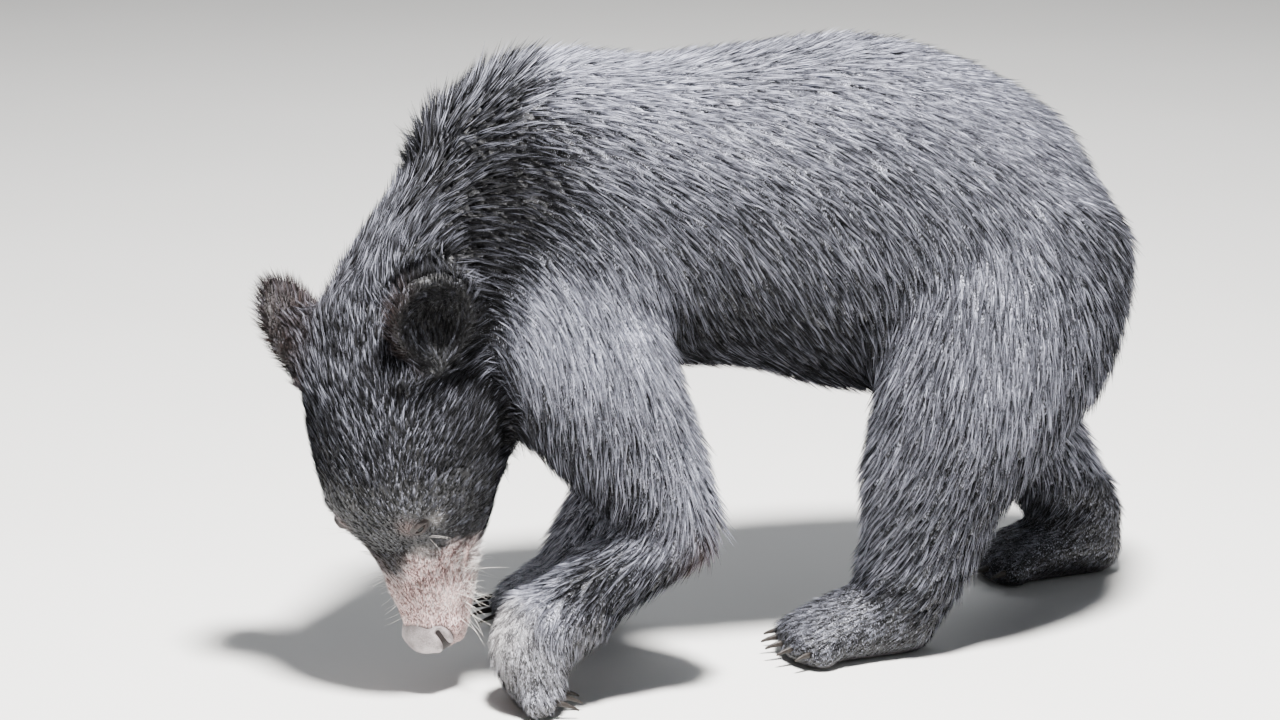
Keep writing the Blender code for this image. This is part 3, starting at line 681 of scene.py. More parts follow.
def coat_depth(points, shares):
    """How far the skin lies under the tips of the coat."""
    ahead = in_head(points)[:, 0]
    thin = np.clip(2.5 * share_of(shares, "forepaw", "hindpaw"), 0, 1)
    depth = between(of_part(shares, 0), on_face(ahead, FACE_DEPTH), share_of(shares, "head", "jaw"))
    depth = between(depth, np.minimum(depth, COAT["forepaw"][0]), thin)
    clearance, reach = EAR_CLEARANCE
    body = share_of(shares, "neck", "arm", "trunk")
    for side in (1, -1):
        depth += clearance * near_to(points, on_head(EARS[side][0], side), reach) * body
    at_eye, beyond, *ring = EYE_DEPTH
    for side in (1, -1):
        from_eye = far_from(points, on_head(EYE_PLACE, side))
        depth = np.minimum(depth, at_eye + beyond * smooth_step(*ring, from_eye))
    return depth * smooth_step(*LOW_DEPTH, points[:, 2])


def looked_up(points, lookup, table):
    """The rows of a table that belong to the nearest points of a lookup."""
    return table[[lookup.find(point)[1] for point in points]]


def lookup_of(points):
    lookup = KDTree(len(points))
    for number, point in enumerate(points):
        lookup.insert(point, number)
    lookup.balance()
    return lookup


def ear_frame(side):
    """The ear's middle and its axes: out of its opening, to its tip and across."""
    place, opening, tip = EARS[side]
    opening, tip = way_on_head(opening, side), way_on_head(tip, side)
    tip = unit(tip - tip @ opening * opening)
    return on_head(place, side), opening, tip, np.cross(tip, opening)


def circle(count):
    """The cosines and the sines of even turns, as columns."""
    turns = np.linspace(0, math.tau, count, endpoint=False)[:, None]
    return np.cos(turns), np.sin(turns)


def ear_cup(side):
    """The rings of an ear: a round cup, closed from its hollow over the rim to its back."""
    middle, opening, tip, across = ear_frame(side)
    broad, tall = EAR_SHAPE
    cosines, sines = circle(EAR_TURNS)
    round_ear = cosines * across * broad + sines * tip * tall
    hollow, back = [], []
    for share in np.linspace(EAR_HOLLOW, 1, EAR_RINGS):
        floor = middle + opening * EAR_DISH * (share**2 - 1) + round_ear * EAR_RADIUS * share
        hollow.append(floor)
        back.append(floor + unit(round_ear * share * EAR_FLARE - opening) * EAR_THICKNESS)
    return hollow + back[::-1]


def ear_root(side):
    """The rings of the thick root that carries an ear's cup on the head."""
    middle, opening, tip, across = ear_frame(side)
    under, behind = ROOT_TOP
    top = middle - tip * EAR_RADIUS * under - opening * (EAR_DISH + behind * EAR_THICKNESS)
    seat = on_head(EAR_ROOT, side)
    cosines, sines = circle(ROOT_TURNS)
    rings = []
    for share in np.linspace(0, 1, ROOT_RINGS):
        wide, deep = (EAR_ROOT_RADIUS * (at + more * share) for at, more in (ROOT_WIDE, ROOT_DEEP))
        round_root = cosines * across * wide + sines * opening * deep
        rings.append(between(top, seat, share) + round_root)
    return rings


def add_rings(shape, rings):
    """A closed shell through rings of points. Returns how many points it has."""
    loops = [[shape.verts.new(point) for point in ring] for ring in rings]
    for one, two in zip(loops, loops[1:]):
        for number in range(len(one)):
            shape.faces.new((one[number - 1], one[number], two[number], two[number - 1]))
    shape.faces.new(loops[0][::-1])
    shape.faces.new(loops[-1])
    return sum(len(loop) for loop in loops)


def with_ears(mesh, shares):
    """Add the ears' cups and roots to the sunk outline, and their rows to its table."""
    shape = shape_of(mesh)
    rows = [shares]
    for side in (1, -1):
        row = np.concatenate((np.eye(len(PARTS))[PARTS.index("ear")], ear_frame(side)[2]))
        for rings in (ear_cup(side), ear_root(side)):
            rows.append(np.tile(row, (add_rings(shape, rings), 1)))
    written(shape, mesh)
    return np.concatenate(rows)


def sunk_skin():
    """The outline drawn in by the coat's depth, with its ears and the table of its vertices."""
    outline, shares = outline_of_flesh()
    points, edges = points_of(outline.data), edges_of(outline.data)
    depth = coat_depth(points, shares)[:, None]
    move_points(outline.data, points + evened(-normals_of(outline.data) * depth, edges, SINK_ROUNDS))
    shares = with_ears(outline.data, shares)
    lookup = lookup_of(points_of(outline.data))
    skin = remeshed(outline, "skin", SKIN_VOXEL)
    largest_shell(skin.data)
    move_points(skin.data, evened(points_of(skin.data), edges_of(skin.data), SKIN_ROUNDS))
    skin = thinned(skin, lookup, shares)
    refine_face(skin.data, lookup, shares)
    return skin, looked_up(points_of(skin.data), lookup, shares)


def thinned(skin, lookup, shares):
    """Fewer faces on the trunk and limbs, where the coat hides the skin."""
    near = looked_up(points_of(skin.data), lookup, shares)
    plain = np.flatnonzero(share_of(near, "head", "jaw", "ear") < SKIN_PLAIN)
    group = skin.vertex_groups.new(name="plain")
    group.add([int(number) for number in plain], 1.0, "REPLACE")
    step = skin.modifiers.new("thin", "DECIMATE")
    step.vertex_group = group.name
    step.ratio = SKIN_KEPT
    made = baked(skin, "skin")
    made.vertex_groups.clear()
    return made


def refine_face(mesh, lookup, shares):
    """Finer faces on the face, finer still on the muzzle, and finest round the eyes."""
    for ahead, round_eye, rounds in FACE_FINER:
        points = points_of(mesh)
        face = share_of(looked_up(points, lookup, shares), "head", "jaw") > 0.5
        chosen = face & (in_head(points)[:, 0] > ahead)
        for side in (1, -1):
            chosen |= far_from(points, on_head(EYE_PLACE, side)) < round_eye
        split_inside(mesh, chosen)
        even_inside(mesh, chosen, rounds)


def split_inside(mesh, chosen):
    """Halve the edges between chosen vertices, which makes four faces of each face."""
    shape = shape_of(mesh)
    edges = [edge for edge in shape.edges if all(chosen[vert.index] for vert in edge.verts)]
    bmesh.ops.subdivide_edges(shape, edges=edges, cuts=1, use_grid_fill=True)
    written(shape, mesh)


def even_inside(mesh, chosen, rounds):
    """Smooth the freshly split faces. The new vertices come after the chosen old ones."""
    points = points_of(mesh)
    moving = np.ones(len(points), bool)
    moving[: len(chosen)] = chosen
    moved = evened(points, edges_of(mesh), rounds)
    move_points(mesh, np.where(moving[:, None], moved, points))


# The face


def lid_frame(side):
    """The eye's middle, the way it looks, the way to its inner corner, and upwards."""
    look = way_on_head(EYE_LOOK, side)
    along = way_on_head(LID_CORNERS, side)
    along = unit(along - along @ look * look)
    above = np.cross(look, along)
    return on_head(EYE_PLACE, side) - look * EYE_SET, look, along, above * np.sign(above @ DORSAL)


def bedded(across, height, out):
    """Heights of the skin round the eye, with the orbit filled as the skin round it runs."""
    radius = np.hypot(across, height)
    inner, outer = ORBIT_RING
    terms = np.stack((across**0, across, height, across**2, across * height, height**2), 1)
    ring = (radius > inner) & (radius < outer) & (np.abs(out) < outer)
    bed = terms @ np.linalg.lstsq(terms[ring], out[ring], rcond=None)[0]
    return between(bed, out, smooth_step(inner, outer, radius))


def lid_height(edge, height, spread):
    """How far out a lid lies over the eyeball: a ball a little larger, with its folds."""
    lid = np.sqrt((EYE_RADIUS + LID_THICKNESS) ** 2 - np.minimum(spread, EYE_RADIUS**2))
    for half, amount, off_edge, width in LID_FOLDS:
        lid += amount * bell(edge - off_edge, width) * ((height * half > 0) | (half == 0))
    return lid


def shape_lids(points, side):
    """Draw the skin over the eyeball as two lids that leave an almond open between them."""
    centre, look, along, above = lid_frame(side)
    local = points - centre
    across, height, out = local @ along, local @ above, local @ look
    radius = np.hypot(across, height)
    near = (radius < ORBIT_RING[1]) & (np.abs(out) < ORBIT_RING[1])
    beyond = np.maximum(np.abs(across) - LID_HALF_LENGTH, 0)
    gap = np.where(height > 0, UPPER_LID_GAP, LOWER_LID_GAP)
    gap = gap * np.clip(1 - (across / LID_HALF_LENGTH) ** 2, 0, 1)
    over = np.abs(height) - gap
    edge = np.hypot(np.maximum(over, 0), beyond) - np.maximum(-over, 0)
    snapped = near & (np.abs(edge) < LID_SNAP)
    height = np.where(snapped, np.sign(height) * gap, height)
    edge = np.where(snapped, 0, edge)
    spread = across**2 + height**2
    far = smooth_step(LID_BED, LID_SPREAD, radius)
    target = between(lid_height(edge, height, spread), bedded(across, height, out), far)
    under = np.sqrt(np.maximum((EYE_RADIUS - LID_FLOOR) ** 2 - spread, 0))
    target = np.where(edge < -1e-5, under, target)
    moved = centre + np.outer(across, along) + np.outer(height, above) + np.outer(target, look)
    return np.where(near[:, None], moved, points)


def mouth_line(ahead):
    """How high the lips meet, which rises towards the corner of the mouth."""
    rise, start = MOUTH_RISE
    return MOUTH_LEVEL + rise * smooth_step(start, MOUTH_CORNER, ahead)


def shape_mouth(points, normals, face):
    """A groove where the lips meet, a fuller upper lip over it, and a fold at the corner."""
    ahead, _, dorsal = in_head(points).T
    above = dorsal - mouth_line(ahead)
    inside = face * smooth_step(*(MOUTH_CORNER + fade for fade in MOUTH_FADE), ahead)
    push = sum(amount * bell(above - height, width) for amount, height, width in LIPS) * inside
    fold, reach, behind = MOUTH_FOLD
    corner = np.hypot(ahead - MOUTH_CORNER + behind, dorsal - mouth_line(MOUTH_CORNER))
    push += fold * bell(corner, reach) * face
    return points + normals * push[:, None]


def shape_face(points, normals, face):
    """Brows, the hollow before each eye, a flat bridge, and a dip at the stop."""
    ahead, sideways, dorsal = in_head(points).T
    aside = np.abs(sideways)
    push = np.zeros(len(points))
    for forward, out, least, amount, reach in FACE_MOUNDS:
        push += amount * bell(np.hypot(ahead - forward, aside - out), reach) * (dorsal > least)
    amount, forward, reach, half_width, least = STOP_DIP
    push += amount * bell(sideways, half_width) * bell(ahead - forward, reach) * (dorsal > least)
    amount, lengthwise, crosswise = NOSTRIL_SLOPE
    push += amount * smooth_step(*lengthwise, ahead) * smooth_step(*crosswise, aside)
    amount, forward, reach, crosswise = MUZZLE_DIP
    push += amount * bell(ahead - forward, reach) * smooth_step(*crosswise, aside) * (dorsal > 0)
    return points + normals * (push * face)[:, None]


def finished_skin():
    """The skin with its face shaped, and the table of its vertices."""
    skin, shares = sunk_skin()
    mesh = skin.data
    face = share_of(shares, "head", "jaw")
    move_points(mesh, shape_face(points_of(mesh), normals_of(mesh), face))
    move_points(mesh, shape_mouth(points_of(mesh), normals_of(mesh), face))
    for side in (1, -1):
        move_points(mesh, shape_lids(points_of(mesh), side))
    mesh.shade_smooth()
    return skin, shares


# What the skin tells the coat


def flattened(ways, normals):
    """Ways laid flat to the skin."""
    return ways - normals * np.sum(ways * normals, axis=1)[:, None]


def from_fan(points, side):
    """The way to each point from the place under an ear from which its hair fans out."""
    middle, _, tip, _ = ear_frame(side)
    return points - middle + tip * EAR_FAN


def lie_of_hair(points, normals, edges, table):
    """The way the hair lies on the skin, flat to it: a unit vector at each vertex."""
    ways = table[:, len(PARTS):].copy()
    ahead, sideways, _ = in_head(points).T
    head = share_of(table, "head", "jaw")
    outwards, backwards = CHEEK_SIDE
    cheek = head * smooth_step(*outwards, np.abs(sideways)) * smooth_step(*backwards, ahead)
    down, out = CHEEK_LIE
    ways += cheek[:, None] * (-down * DORSAL + out * np.outer(np.sign(sideways), LEFT))
    aside, across = TRUNK_LIE
    trunk = share_of(table, "trunk", "neck")
    ways[:, 1] += aside * trunk * np.clip(points[:, 1] / across, -1, 1)
    for side in (1, -1):
        fan = from_fan(points, side)
        near = (share_of(table, "ear") * (far_from(fan, 0) < EAR_REACH))[:, None]
        ways = between(ways, unit(fan), near)
    for _ in range(3):
        ways = evened(unit(flattened(ways, normals)), edges, LIE_ROUNDS)
    return unit(flattened(ways, normals))


def hair_sizes(points, normals, table):
    """Length, width and steepness of the hair at each vertex."""
    length, width, lift = (of_part(table, column) for column in (1, 2, 3))
    ahead, _, dorsal = in_head(points).T
    head = share_of(table, "head", "jaw")
    length = between(length, on_face(ahead, FACE_LENGTH), head)
    width = between(width, on_face(ahead, FACE_WIDTH), head)
    downwards, backwards = CHEEK_RUFF
    cheek = head * smooth_step(*downwards, dorsal) * smooth_step(*backwards, ahead)
    length += CHEEK_LONGER * cheek
    for place, reach, longer, steeper in (*RUFFS, *on_both_sides(FACE_RUFFS)):
        near = near_to(points, place, reach)
        length += longer * near
        lift += steeper * near
    reach, shorter, thinner = EYE_HAIR
    for side in (1, -1):
        fan = from_fan(points, side)
        rim = np.sum(unit(fan) * normals, axis=1) * (far_from(fan, 0) < EAR_REACH)
        lift += EAR_RIM_LIFT * smooth_step(*EAR_RIM_FACING, rim) * share_of(table, "ear")
        near_eye = near_to(points, on_head(EYE_PLACE, side), reach)
        length *= 1 - shorter * near_eye
        width *= 1 - thinner * near_eye
    *heights, least = LOW_HAIR
    low = smooth_step(*heights, points[:, 2])
    return length * (least + (1 - least) * low), width, np.radians(lift)


def bare_skin(points, normals):
    """1 where no hair grows: the soles, the lids' rims and under the nose pad."""
    bare = smooth_step(*SOLE_HEIGHTS, points[:, 2]) * smooth_step(*SOLE_FACING, normals[:, 2])
    for side in (1, -1):
        centre, look, along, above = lid_frame(side)
        local = points - centre
        oval = np.hypot(local @ along / LID_OVAL[0], local @ above / LID_OVAL[1])
        bare = np.maximum(bare, smooth_step(*LID_OVAL_EDGE, oval) * (local @ look > 0))
    local = (in_head(points) - np.array(NOSE_PLACE)) / np.array(NOSE_RADII)
    nose = np.linalg.norm(local, axis=1)
    return np.maximum(bare, smooth_step(*NOSE_EDGE, nose))


def strongest(points, places, mark):
    """A mark raised to its amount at each of some places."""
    for place, reach, amount in places:
        mark = np.maximum(mark, amount * near_to(points, place, reach))
    return mark


def muzzle_marks(points, face):
    """How tan and how white the muzzle is, with a dark wedge down its bridge."""
    ahead, sideways, dorsal = in_head(points).T
    turns = (sideways * across + dorsal * up + shift for across, up, shift in PALE_WAVES)
    wave = sum(PALE_WAVE * np.sin(turn) for turn in turns)
    aside, half_width, long = PALE_WEDGE
    wedge = bell(sideways + aside, half_width)
    further, downwards = PALE_UNDER
    start = PALE_START + long * wedge + further * smooth_step(*downwards, dorsal) + wave
    behind, in_front, on_wedge = PALE_EDGE
    tan = face * smooth_step(start - behind, start + in_front + on_wedge * wedge, ahead)
    amount, lengthwise, heights = WHITE_LIP
    white = face * smooth_step(*heights, dorsal - mouth_line(ahead) + MOUTH_LEVEL)
    white *= amount * smooth_step(*lengthwise, ahead)
    return tan, strongest(points, on_both_sides(FACE_WHITE), white)


def ear_marks(points, ear):
    """Brown and painted sheen on the rims of the ears, and painted shadow under them."""
    brown, rim_sheen, shade = (np.zeros(len(points)) for _ in range(3))
    darkest, reach = EAR_SHADE
    *start, end = EAR_RIM
    for side in (1, -1):
        middle, opening, tip, _ = ear_frame(side)
        local = points - middle
        far = far_from(local, 0)
        rim = ear * smooth_step(*start, far) * (far < end)
        above = local @ DORSAL
        brown = np.maximum(brown, EAR_BROWN * rim * smooth_step(*BROWN_UPWARDS, above))
        fringe = rim * smooth_step(*FRINGE_TO_TIP, local @ tip)
        fringe *= smooth_step(*FRINGE_OUTWARDS, local @ opening) * smooth_step(*FRINGE_UPWARDS, above)
        # painted sheen on the fringe, where the rim faces up and out
        rim_sheen = np.maximum(rim_sheen, EAR_RIM_SHEEN * fringe)
        # painted shadow under the ear
        shade = np.maximum(shade, darkest * bell(far_from(from_fan(points, side), 0), reach))
    return brown, rim_sheen, shade


def crescent_mark(points, normals, table):
    """The pale crescent on the chest."""
    line = points[:, 2] - CRESCENT_LOW - CRESCENT_RISE * np.abs(points[:, 1])
    crescent = bell(line, CRESCENT_WIDTH) * smooth_step(*CRESCENT_FACING, normals[:, 0])
    crescent *= np.abs(points[:, 1]) < CRESCENT_REACH
    return crescent * share_of(table, "trunk", "neck", "arm")


def painted_sheen_of(points, normals, table, shade):
    """How much painted sheen the coat has: less under painted shade and where the skin faces down,
    away from the light above.
    """
    painted_sheen = 1 - sum(less * share_of(table, part) for part, less in LESS_SHEEN.items())
    painted_sheen *= 1 - shade
    # Painted sheen raised, or painted shade and shadow laid, at the listed places
    for place, reach, amount in SHEEN_AND_SHADOW_PLACES:
        painted_sheen *= 1 + amount * near_to(points, place, reach)
    upright = normals[:, 2]
    beside = SHEEN_BESIDE * smooth_step(*FACES_ASIDE, upright)
    over = SHEEN_OVER * smooth_step(*FACES_UP, upright)
    return painted_sheen * (SHEEN_UNDER + (beside + over))


def markings(points, normals, table):
    """How tan, white, brown and grey the coat is, and how much painted sheen it has, at each vertex,
    from 0 to 1.
    """
    tan, white = muzzle_marks(points, share_of(table, "head", "jaw"))
    brown, rim_sheen, shade = ear_marks(points, share_of(table, "ear"))
    brown = strongest(points, (*on_both_sides(FACE_BROWN), *BROWN_AND_BACKLIT_PLACES), brown)
    paw = share_of(table, "forepaw")
    wrist, all_over = GREY_AMOUNTS
    # Grey hair on the forepaws, paler on the near one's top with painted sunlight
    grey = wrist * near_to(points, *PALE_AND_LIT_WRIST) * smooth_step(*GREY_PAW, paw) + all_over * paw
    painted_sheen = painted_sheen_of(points, normals, table, shade)
    white = np.maximum(white, crescent_mark(points, normals, table))
    return tan, white, brown, grey, np.maximum(painted_sheen, rim_sheen)


def inform_skin(skin, table):
    """Put on the skin all that the coat's tufts and the materials read from it."""
    mesh = skin.data
    points, normals, edges = points_of(mesh), normals_of(mesh), edges_of(mesh)
    bare = bare_skin(points, normals)
    put_attribute(mesh, "flow", lie_of_hair(points, normals, edges, table), "FLOAT_VECTOR")
    sizes = zip(("hair_length", "hair_width", "hair_lift"), hair_sizes(points, normals, table))
    marks = zip(MARKS, (np.clip(mark, 0, 1) for mark in markings(points, normals, table)))
    for name, values in (*sizes, ("bare", bare), ("cover", 1 - bare), *marks):
        put_attribute(mesh, name, values)
    put_attribute(mesh, "patch", patch_of_faces(mesh, points, table), "INT", "FACE")
    unwrap(skin)


def patch_of_faces(mesh, points, table):
    """The number of the coat piece that grows on each face."""
    names = np.array(PARTS)[np.argmax(table[:, : len(PARTS)], axis=1)]
    ahead, sideways, _ = in_head(points).T
    left, front = points[:, 1] < 0, points[:, 0] < TRUNK_MIDDLE
    trunk = np.isin(names, ("trunk", "tail"))
    muzzle = ahead >= MUZZLE_START
    head = (names == "head") & ~muzzle
    chosen = {
        "coat_neck": names == "neck",
        "coat_head_left": head & (sideways >= 0),
        "coat_head_right": head & (sideways < 0),
        "coat_muzzle": ((names == "head") & muzzle) | (names == "jaw"),
        "coat_ears": names == "ear",
        "coat_paws": np.isin(names, ("forepaw", "hindpaw")),
    }
    for side, here in (("left", left), ("right", ~left)):
        chosen["coat_flank_front_" + side] = trunk & here & front
        chosen["coat_flank_rear_" + side] = trunk & here & ~front
        chosen["coat_front_leg_" + side] = np.isin(names, ("arm", "forearm")) & here
        chosen["coat_hind_leg_" + side] = np.isin(names, ("thigh", "shank")) & here
    patch = np.zeros(len(points), int)
    for number, name in enumerate(COAT_PIECES):
        patch[chosen[name]] = number
    first = np.array([face.vertices[0] for face in mesh.polygons])
    return patch[first].astype(np.int32)


def unwrap(skin):
    """Unwrap the skin's own shape, as the map on which each tuft has its patch."""
    bpy.context.view_layer.objects.active = skin
    skin.select_set(True)
    bpy.ops.object.mode_set(mode="EDIT")
    bpy.ops.mesh.select_all(action="SELECT")
    bpy.ops.uv.smart_project(angle_limit=math.radians(70), island_margin=0.001)
    bpy.ops.object.mode_set(mode="OBJECT")
    skin.data.uv_layers.active.name = SKIN_MAP


# Trees of nodes


def add_node(tree, kind, values=None, **settings):
    """A node with its settings. Values go to its sockets: a number, a colour or a link."""
    made = tree.nodes.new(kind)
    for name, value in settings.items():
        setattr(made, name, value)
    for key, value in (values or {}).items():
        if isinstance(value, bpy.types.NodeSocket):
            tree.links.new(value, made.inputs[key])
        else:
            made.inputs[key].default_value = value
    return made


def maths(tree, operation, *values):
    words = dict(enumerate(values))
    return add_node(tree, "ShaderNodeMath", words, operation=operation).outputs[0]


def vector_maths(tree, operation, *values):
    words = dict(enumerate(values))
    return add_node(tree, "ShaderNodeVectorMath", words, operation=operation).outputs["Vector"]


def named(tree, name, kind="FLOAT"):
    """The value of an attribute, in a geometry tree."""
    made = add_node(tree, "GeometryNodeInputNamedAttribute", {"Name": name}, data_type=kind)
    return made.outputs["Attribute"]


def stored(tree, shape, name, value, kind="FLOAT", domain="POINT"):
    words = {"Geometry": shape, "Name": name, "Value": value}
    kinds = {"data_type": kind, "domain": domain}
    return add_node(tree, "GeometryNodeStoreNamedAttribute", words, **kinds).outputs[0]


def chance(tree, low, high, seed):
    """A random number from low to high for each tuft."""
    words = {2: low, 3: high, 8: seed}
    return add_node(tree, "FunctionNodeRandomValue", words, data_type="FLOAT").outputs[1]


def combined(tree, *values):
    return add_node(tree, "ShaderNodeCombineXYZ", dict(enumerate(values))).outputs[0]


def tuft_points(tree, given):
    """Points spread over one patch of the skin, kept apart and off the bare places."""
    patch = {2: named(tree, "patch", "INT"), 3: given["Patch"]}
    kinds = {"data_type": "INT", "operation": "EQUAL"}
    here = add_node(tree, "FunctionNodeCompare", patch, **kinds).outputs[0]
    per_area = maths(tree, "DIVIDE", TUFT_CROWDING, maths(tree, "POWER", given["Spacing"], 2.0))
    words = {
        "Mesh": given["Skin"],
        "Selection": here,
        "Distance Min": given["Spacing"],
        "Density Max": per_area,
        "Density Factor": named(tree, "cover"),
        "Seed": given["Seed"],
    }
    kind = "GeometryNodeDistributePointsOnFaces"
    return add_node(tree, kind, words, distribute_method="POISSON").outputs


def tuft_turns(tree, given, normal, nth):
    """How each tuft is turned: along the flow, drawn into locks, lifted and a little astray."""
    scale = maths(tree, "DIVIDE", 1.0, given["Lock Size"])
    locks = add_node(tree, "ShaderNodeTexNoise", {"Scale": scale, "Detail": 2.0, "Roughness": 0.6})
    pull = vector_maths(tree, "SUBTRACT", locks.outputs["Color"], (0.5, 0.5, 0.5))
    pull = vector_maths(tree, "MULTIPLY", pull, combined(tree, *(given["Lock Pull"],) * 3))
    flow = vector_maths(tree, "ADD", named(tree, "flow", "FLOAT_VECTOR"), pull)
    axes = {"Primary Axis": normal, "Secondary Axis": flow}
    kinds = {"primary_axis": "Z", "secondary_axis": "X"}
    laid = add_node(tree, "FunctionNodeAxesToRotation", axes, **kinds).outputs[0]
    pitch, turn, roll = (
        maths(tree, "MULTIPLY", chance(tree, -1.0, 1.0, nth(number)), given[word])
        for number, word in ((1, "Pitch"), (2, "Turn"), (3, "Roll"))
    )
    steep = maths(tree, "ADD", named(tree, "hair_lift"), pitch)
    angles = combined(tree, roll, maths(tree, "MULTIPLY", steep, -1.0), turn)
    own = add_node(tree, "FunctionNodeEulerToRotation", {0: angles}).outputs[0]
    words = {"Rotation": laid, "Rotate By": own}
    return add_node(tree, "FunctionNodeRotateRotation", words, rotation_space="LOCAL").outputs[0]


def tuft_sizes(tree, given, nth):
    """How long and wide each tuft is."""
    least = maths(tree, "SUBTRACT", 1.0, given["Size Spread"])
    most = maths(tree, "ADD", 1.0, given["Size Spread"])
    long = maths(tree, "MULTIPLY", named(tree, "hair_length"), chance(tree, least, most, nth(4)))
    wide = maths(tree, "MULTIPLY", named(tree, "hair_width"), chance(tree, least, most, nth(5)))
    return combined(tree, long, wide, long)


def tuft_choice(tree, given, tufts, nth):
    """The forms of tuft, and which of them each tuft takes: a fine one where hair is thin."""
    forms = tree.nodes.new("GeometryNodeJoinGeometry")
    for tuft in reversed(tufts):  # the join puts its last link first
        form = add_node(tree, "GeometryNodeObjectInfo", {"Object": tuft, "As Instance": True})
        tree.links.new(form.outputs["Geometry"], forms.inputs[0])
    words = {4: 0, 5: TUFT_FORMS - 1, 8: nth(6)}
    which = add_node(tree, "FunctionNodeRandomValue", words, data_type="INT").outputs[2]
    fine = maths(tree, "LESS_THAN", named(tree, "hair_width"), given["Fine Hair"])
    which = maths(tree, "ADD", which, maths(tree, "MULTIPLY", fine, float(TUFT_FORMS)))
    return forms.outputs[0], which


def bake_spot(tree, given):
    """Where a corner lies on the map: its root's place on the skin's map, in a small patch."""
    middle = (0.5, 0.5, 0.5)
    inside = vector_maths(tree, "SUBTRACT", named(tree, "place", "FLOAT_VECTOR"), middle)
    size = combined(tree, given["Patch Size"], given["Patch Size"])
    inside = vector_maths(tree, "MULTIPLY", inside, size)
    return vector_maths(tree, "ADD", named(tree, SKIN_MAP, "FLOAT_VECTOR"), inside)


def tuft_tree(tufts):
    """Tufts spread over one patch of the skin, each laid along the flow and lifted off it."""
    tree = bpy.data.node_groups.new("Coat tufts", "GeometryNodeTree")
    face = tree.interface
    face.new_socket("Skin", in_out="INPUT", socket_type="NodeSocketGeometry")
    for name, (kind, value) in TUFT_INPUTS.items():
        made = face.new_socket(name, in_out="INPUT", socket_type=kind)
        if value is not None:
            made.default_value = value
    face.new_socket("Coat", in_out="OUTPUT", socket_type="NodeSocketGeometry")
    given = tree.nodes.new("NodeGroupInput").outputs

    def nth(number):
        return maths(tree, "ADD", given["Seed"], float(number))

    spread = tuft_points(tree, given)
    forms, which = tuft_choice(tree, given, tufts, nth)
    words = {
        "Points": spread["Points"],
        "Instance": forms,
        "Pick Instance": True,
        "Instance Index": which,
        "Rotation": tuft_turns(tree, given, spread["Normal"], nth),
        "Scale": tuft_sizes(tree, given, nth),
    }
    shape = add_node(tree, "GeometryNodeInstanceOnPoints", words).outputs[0]
    shape = stored(tree, shape, "tint", chance(tree, 0.0, 1.0, nth(7)), domain="INSTANCE")
    shape = add_node(tree, "GeometryNodeRealizeInstances", {0: shape}).outputs[0]
    steps = maths(tree, "MULTIPLY", named(tree, "strand"), STRAND_STEP)
    tint = maths(tree, "FRACT", maths(tree, "ADD", named(tree, "tint"), steps))
    shape = stored(tree, shape, "tint", tint)
    shape = stored(tree, shape, "OFBake", bake_spot(tree, given), "FLOAT2", "CORNER")
    for name in (*SKIN_ONLY, "strand", SKIN_MAP):
        shape = add_node(tree, "GeometryNodeRemoveAttribute", {0: shape, "Name": name}).outputs[0]
    words = {"Geometry": shape, "Material": given["Material"]}
    shape = add_node(tree, "GeometryNodeSetMaterial", words).outputs[0]
    add_node(tree, "NodeGroupOutput", {0: shape})
    return tree


# The coat


def tuft_form(name, strands):
    """One tuft of closed strands, each a three-sided spike.

    Lengths are shares of the hair's length and widths shares of its width. A strand is
    (root back, root aside, middle aside, tip aside, length, height of the middle), and
    one whose middle has no height runs straight from root to tip."""
    points, faces, places, numbers = [], [], [], []
    reach, sunk, root_half = STRAND_ROOT
    halfway, middle_half = STRAND_MIDDLE
    droop, tip_high = STRAND_TIP
    for number, (back, aside, bend, tip, long, high) in enumerate(strands):
        rings = [(-back - reach, aside, -sunk, root_half)]
        if high:
            rings.append((long * halfway - back, bend, high, middle_half))
        first = len(points)
        for ahead, across, above, half in rings:
            points += [(ahead, across + half * way, above) for way in (-1, 1)]
            points.append((ahead, across, above + STRAND_RIDGE))
        points.append((long - back, tip, high * droop + tip_high))
        lane = (number + 0.5) / len(strands)
        for far in RING_PLACES[: len(rings)]:
            places += [(far, lane + offset / len(strands), 0) for offset in LANE_PLACES]
        places.append((TIP_PLACE, lane, 0))
        numbers += [number // SAME_TINT * (len(strands) > 5)] * (len(points) - first)
        last = first + 3 * (len(rings) - 1)
        for corner in range(3):
            following = (corner + 1) % 3
            if high:
                lower = (first + corner, first + following)
                faces.append((*lower, last + following, last + corner))
            faces.append((last + corner, last + following, last + 3))
        faces.append((first + 2, first + 1, first))
    mesh = mesh_from(name, points, faces)
    put_attribute(mesh, "place", np.array(places), "FLOAT_VECTOR")
    put_attribute(mesh, "along", np.array(places)[:, 0])
    put_attribute(mesh, "strand", np.array(numbers, float))
    mesh.shade_smooth()
    return new_object(name, mesh)


def tuft_forms():
    """A few tufts of each kind, each of one bent strand with straight ones beside it."""
    dice = np.random.default_rng(FORM_SEED)
    made = []
    for count, half in (kind for kind in TUFT_KINDS for _ in range(TUFT_FORMS)):
        strands = []
        for place, lane in enumerate(np.linspace(-half, half, count)):
            sway, tip = dice.uniform(*MIDDLE_SWAY), dice.uniform(*TIP_SWAY)
            back, aside = dice.uniform(*ROOT_BACK), lane + dice.uniform(*ROOT_ASIDE)
            long, high = dice.uniform(*STRAND_LENGTHS), dice.uniform(*STRAND_ARCH)
            bend = lane * LANE_MIDDLE + sway
            tip += lane * LANE_TIP + sway
            strands.append((back, aside, bend, tip, long, high * (place == 1)))
        made.append(tuft_form(f"tuft_form_{len(made)}", strands))
    return made


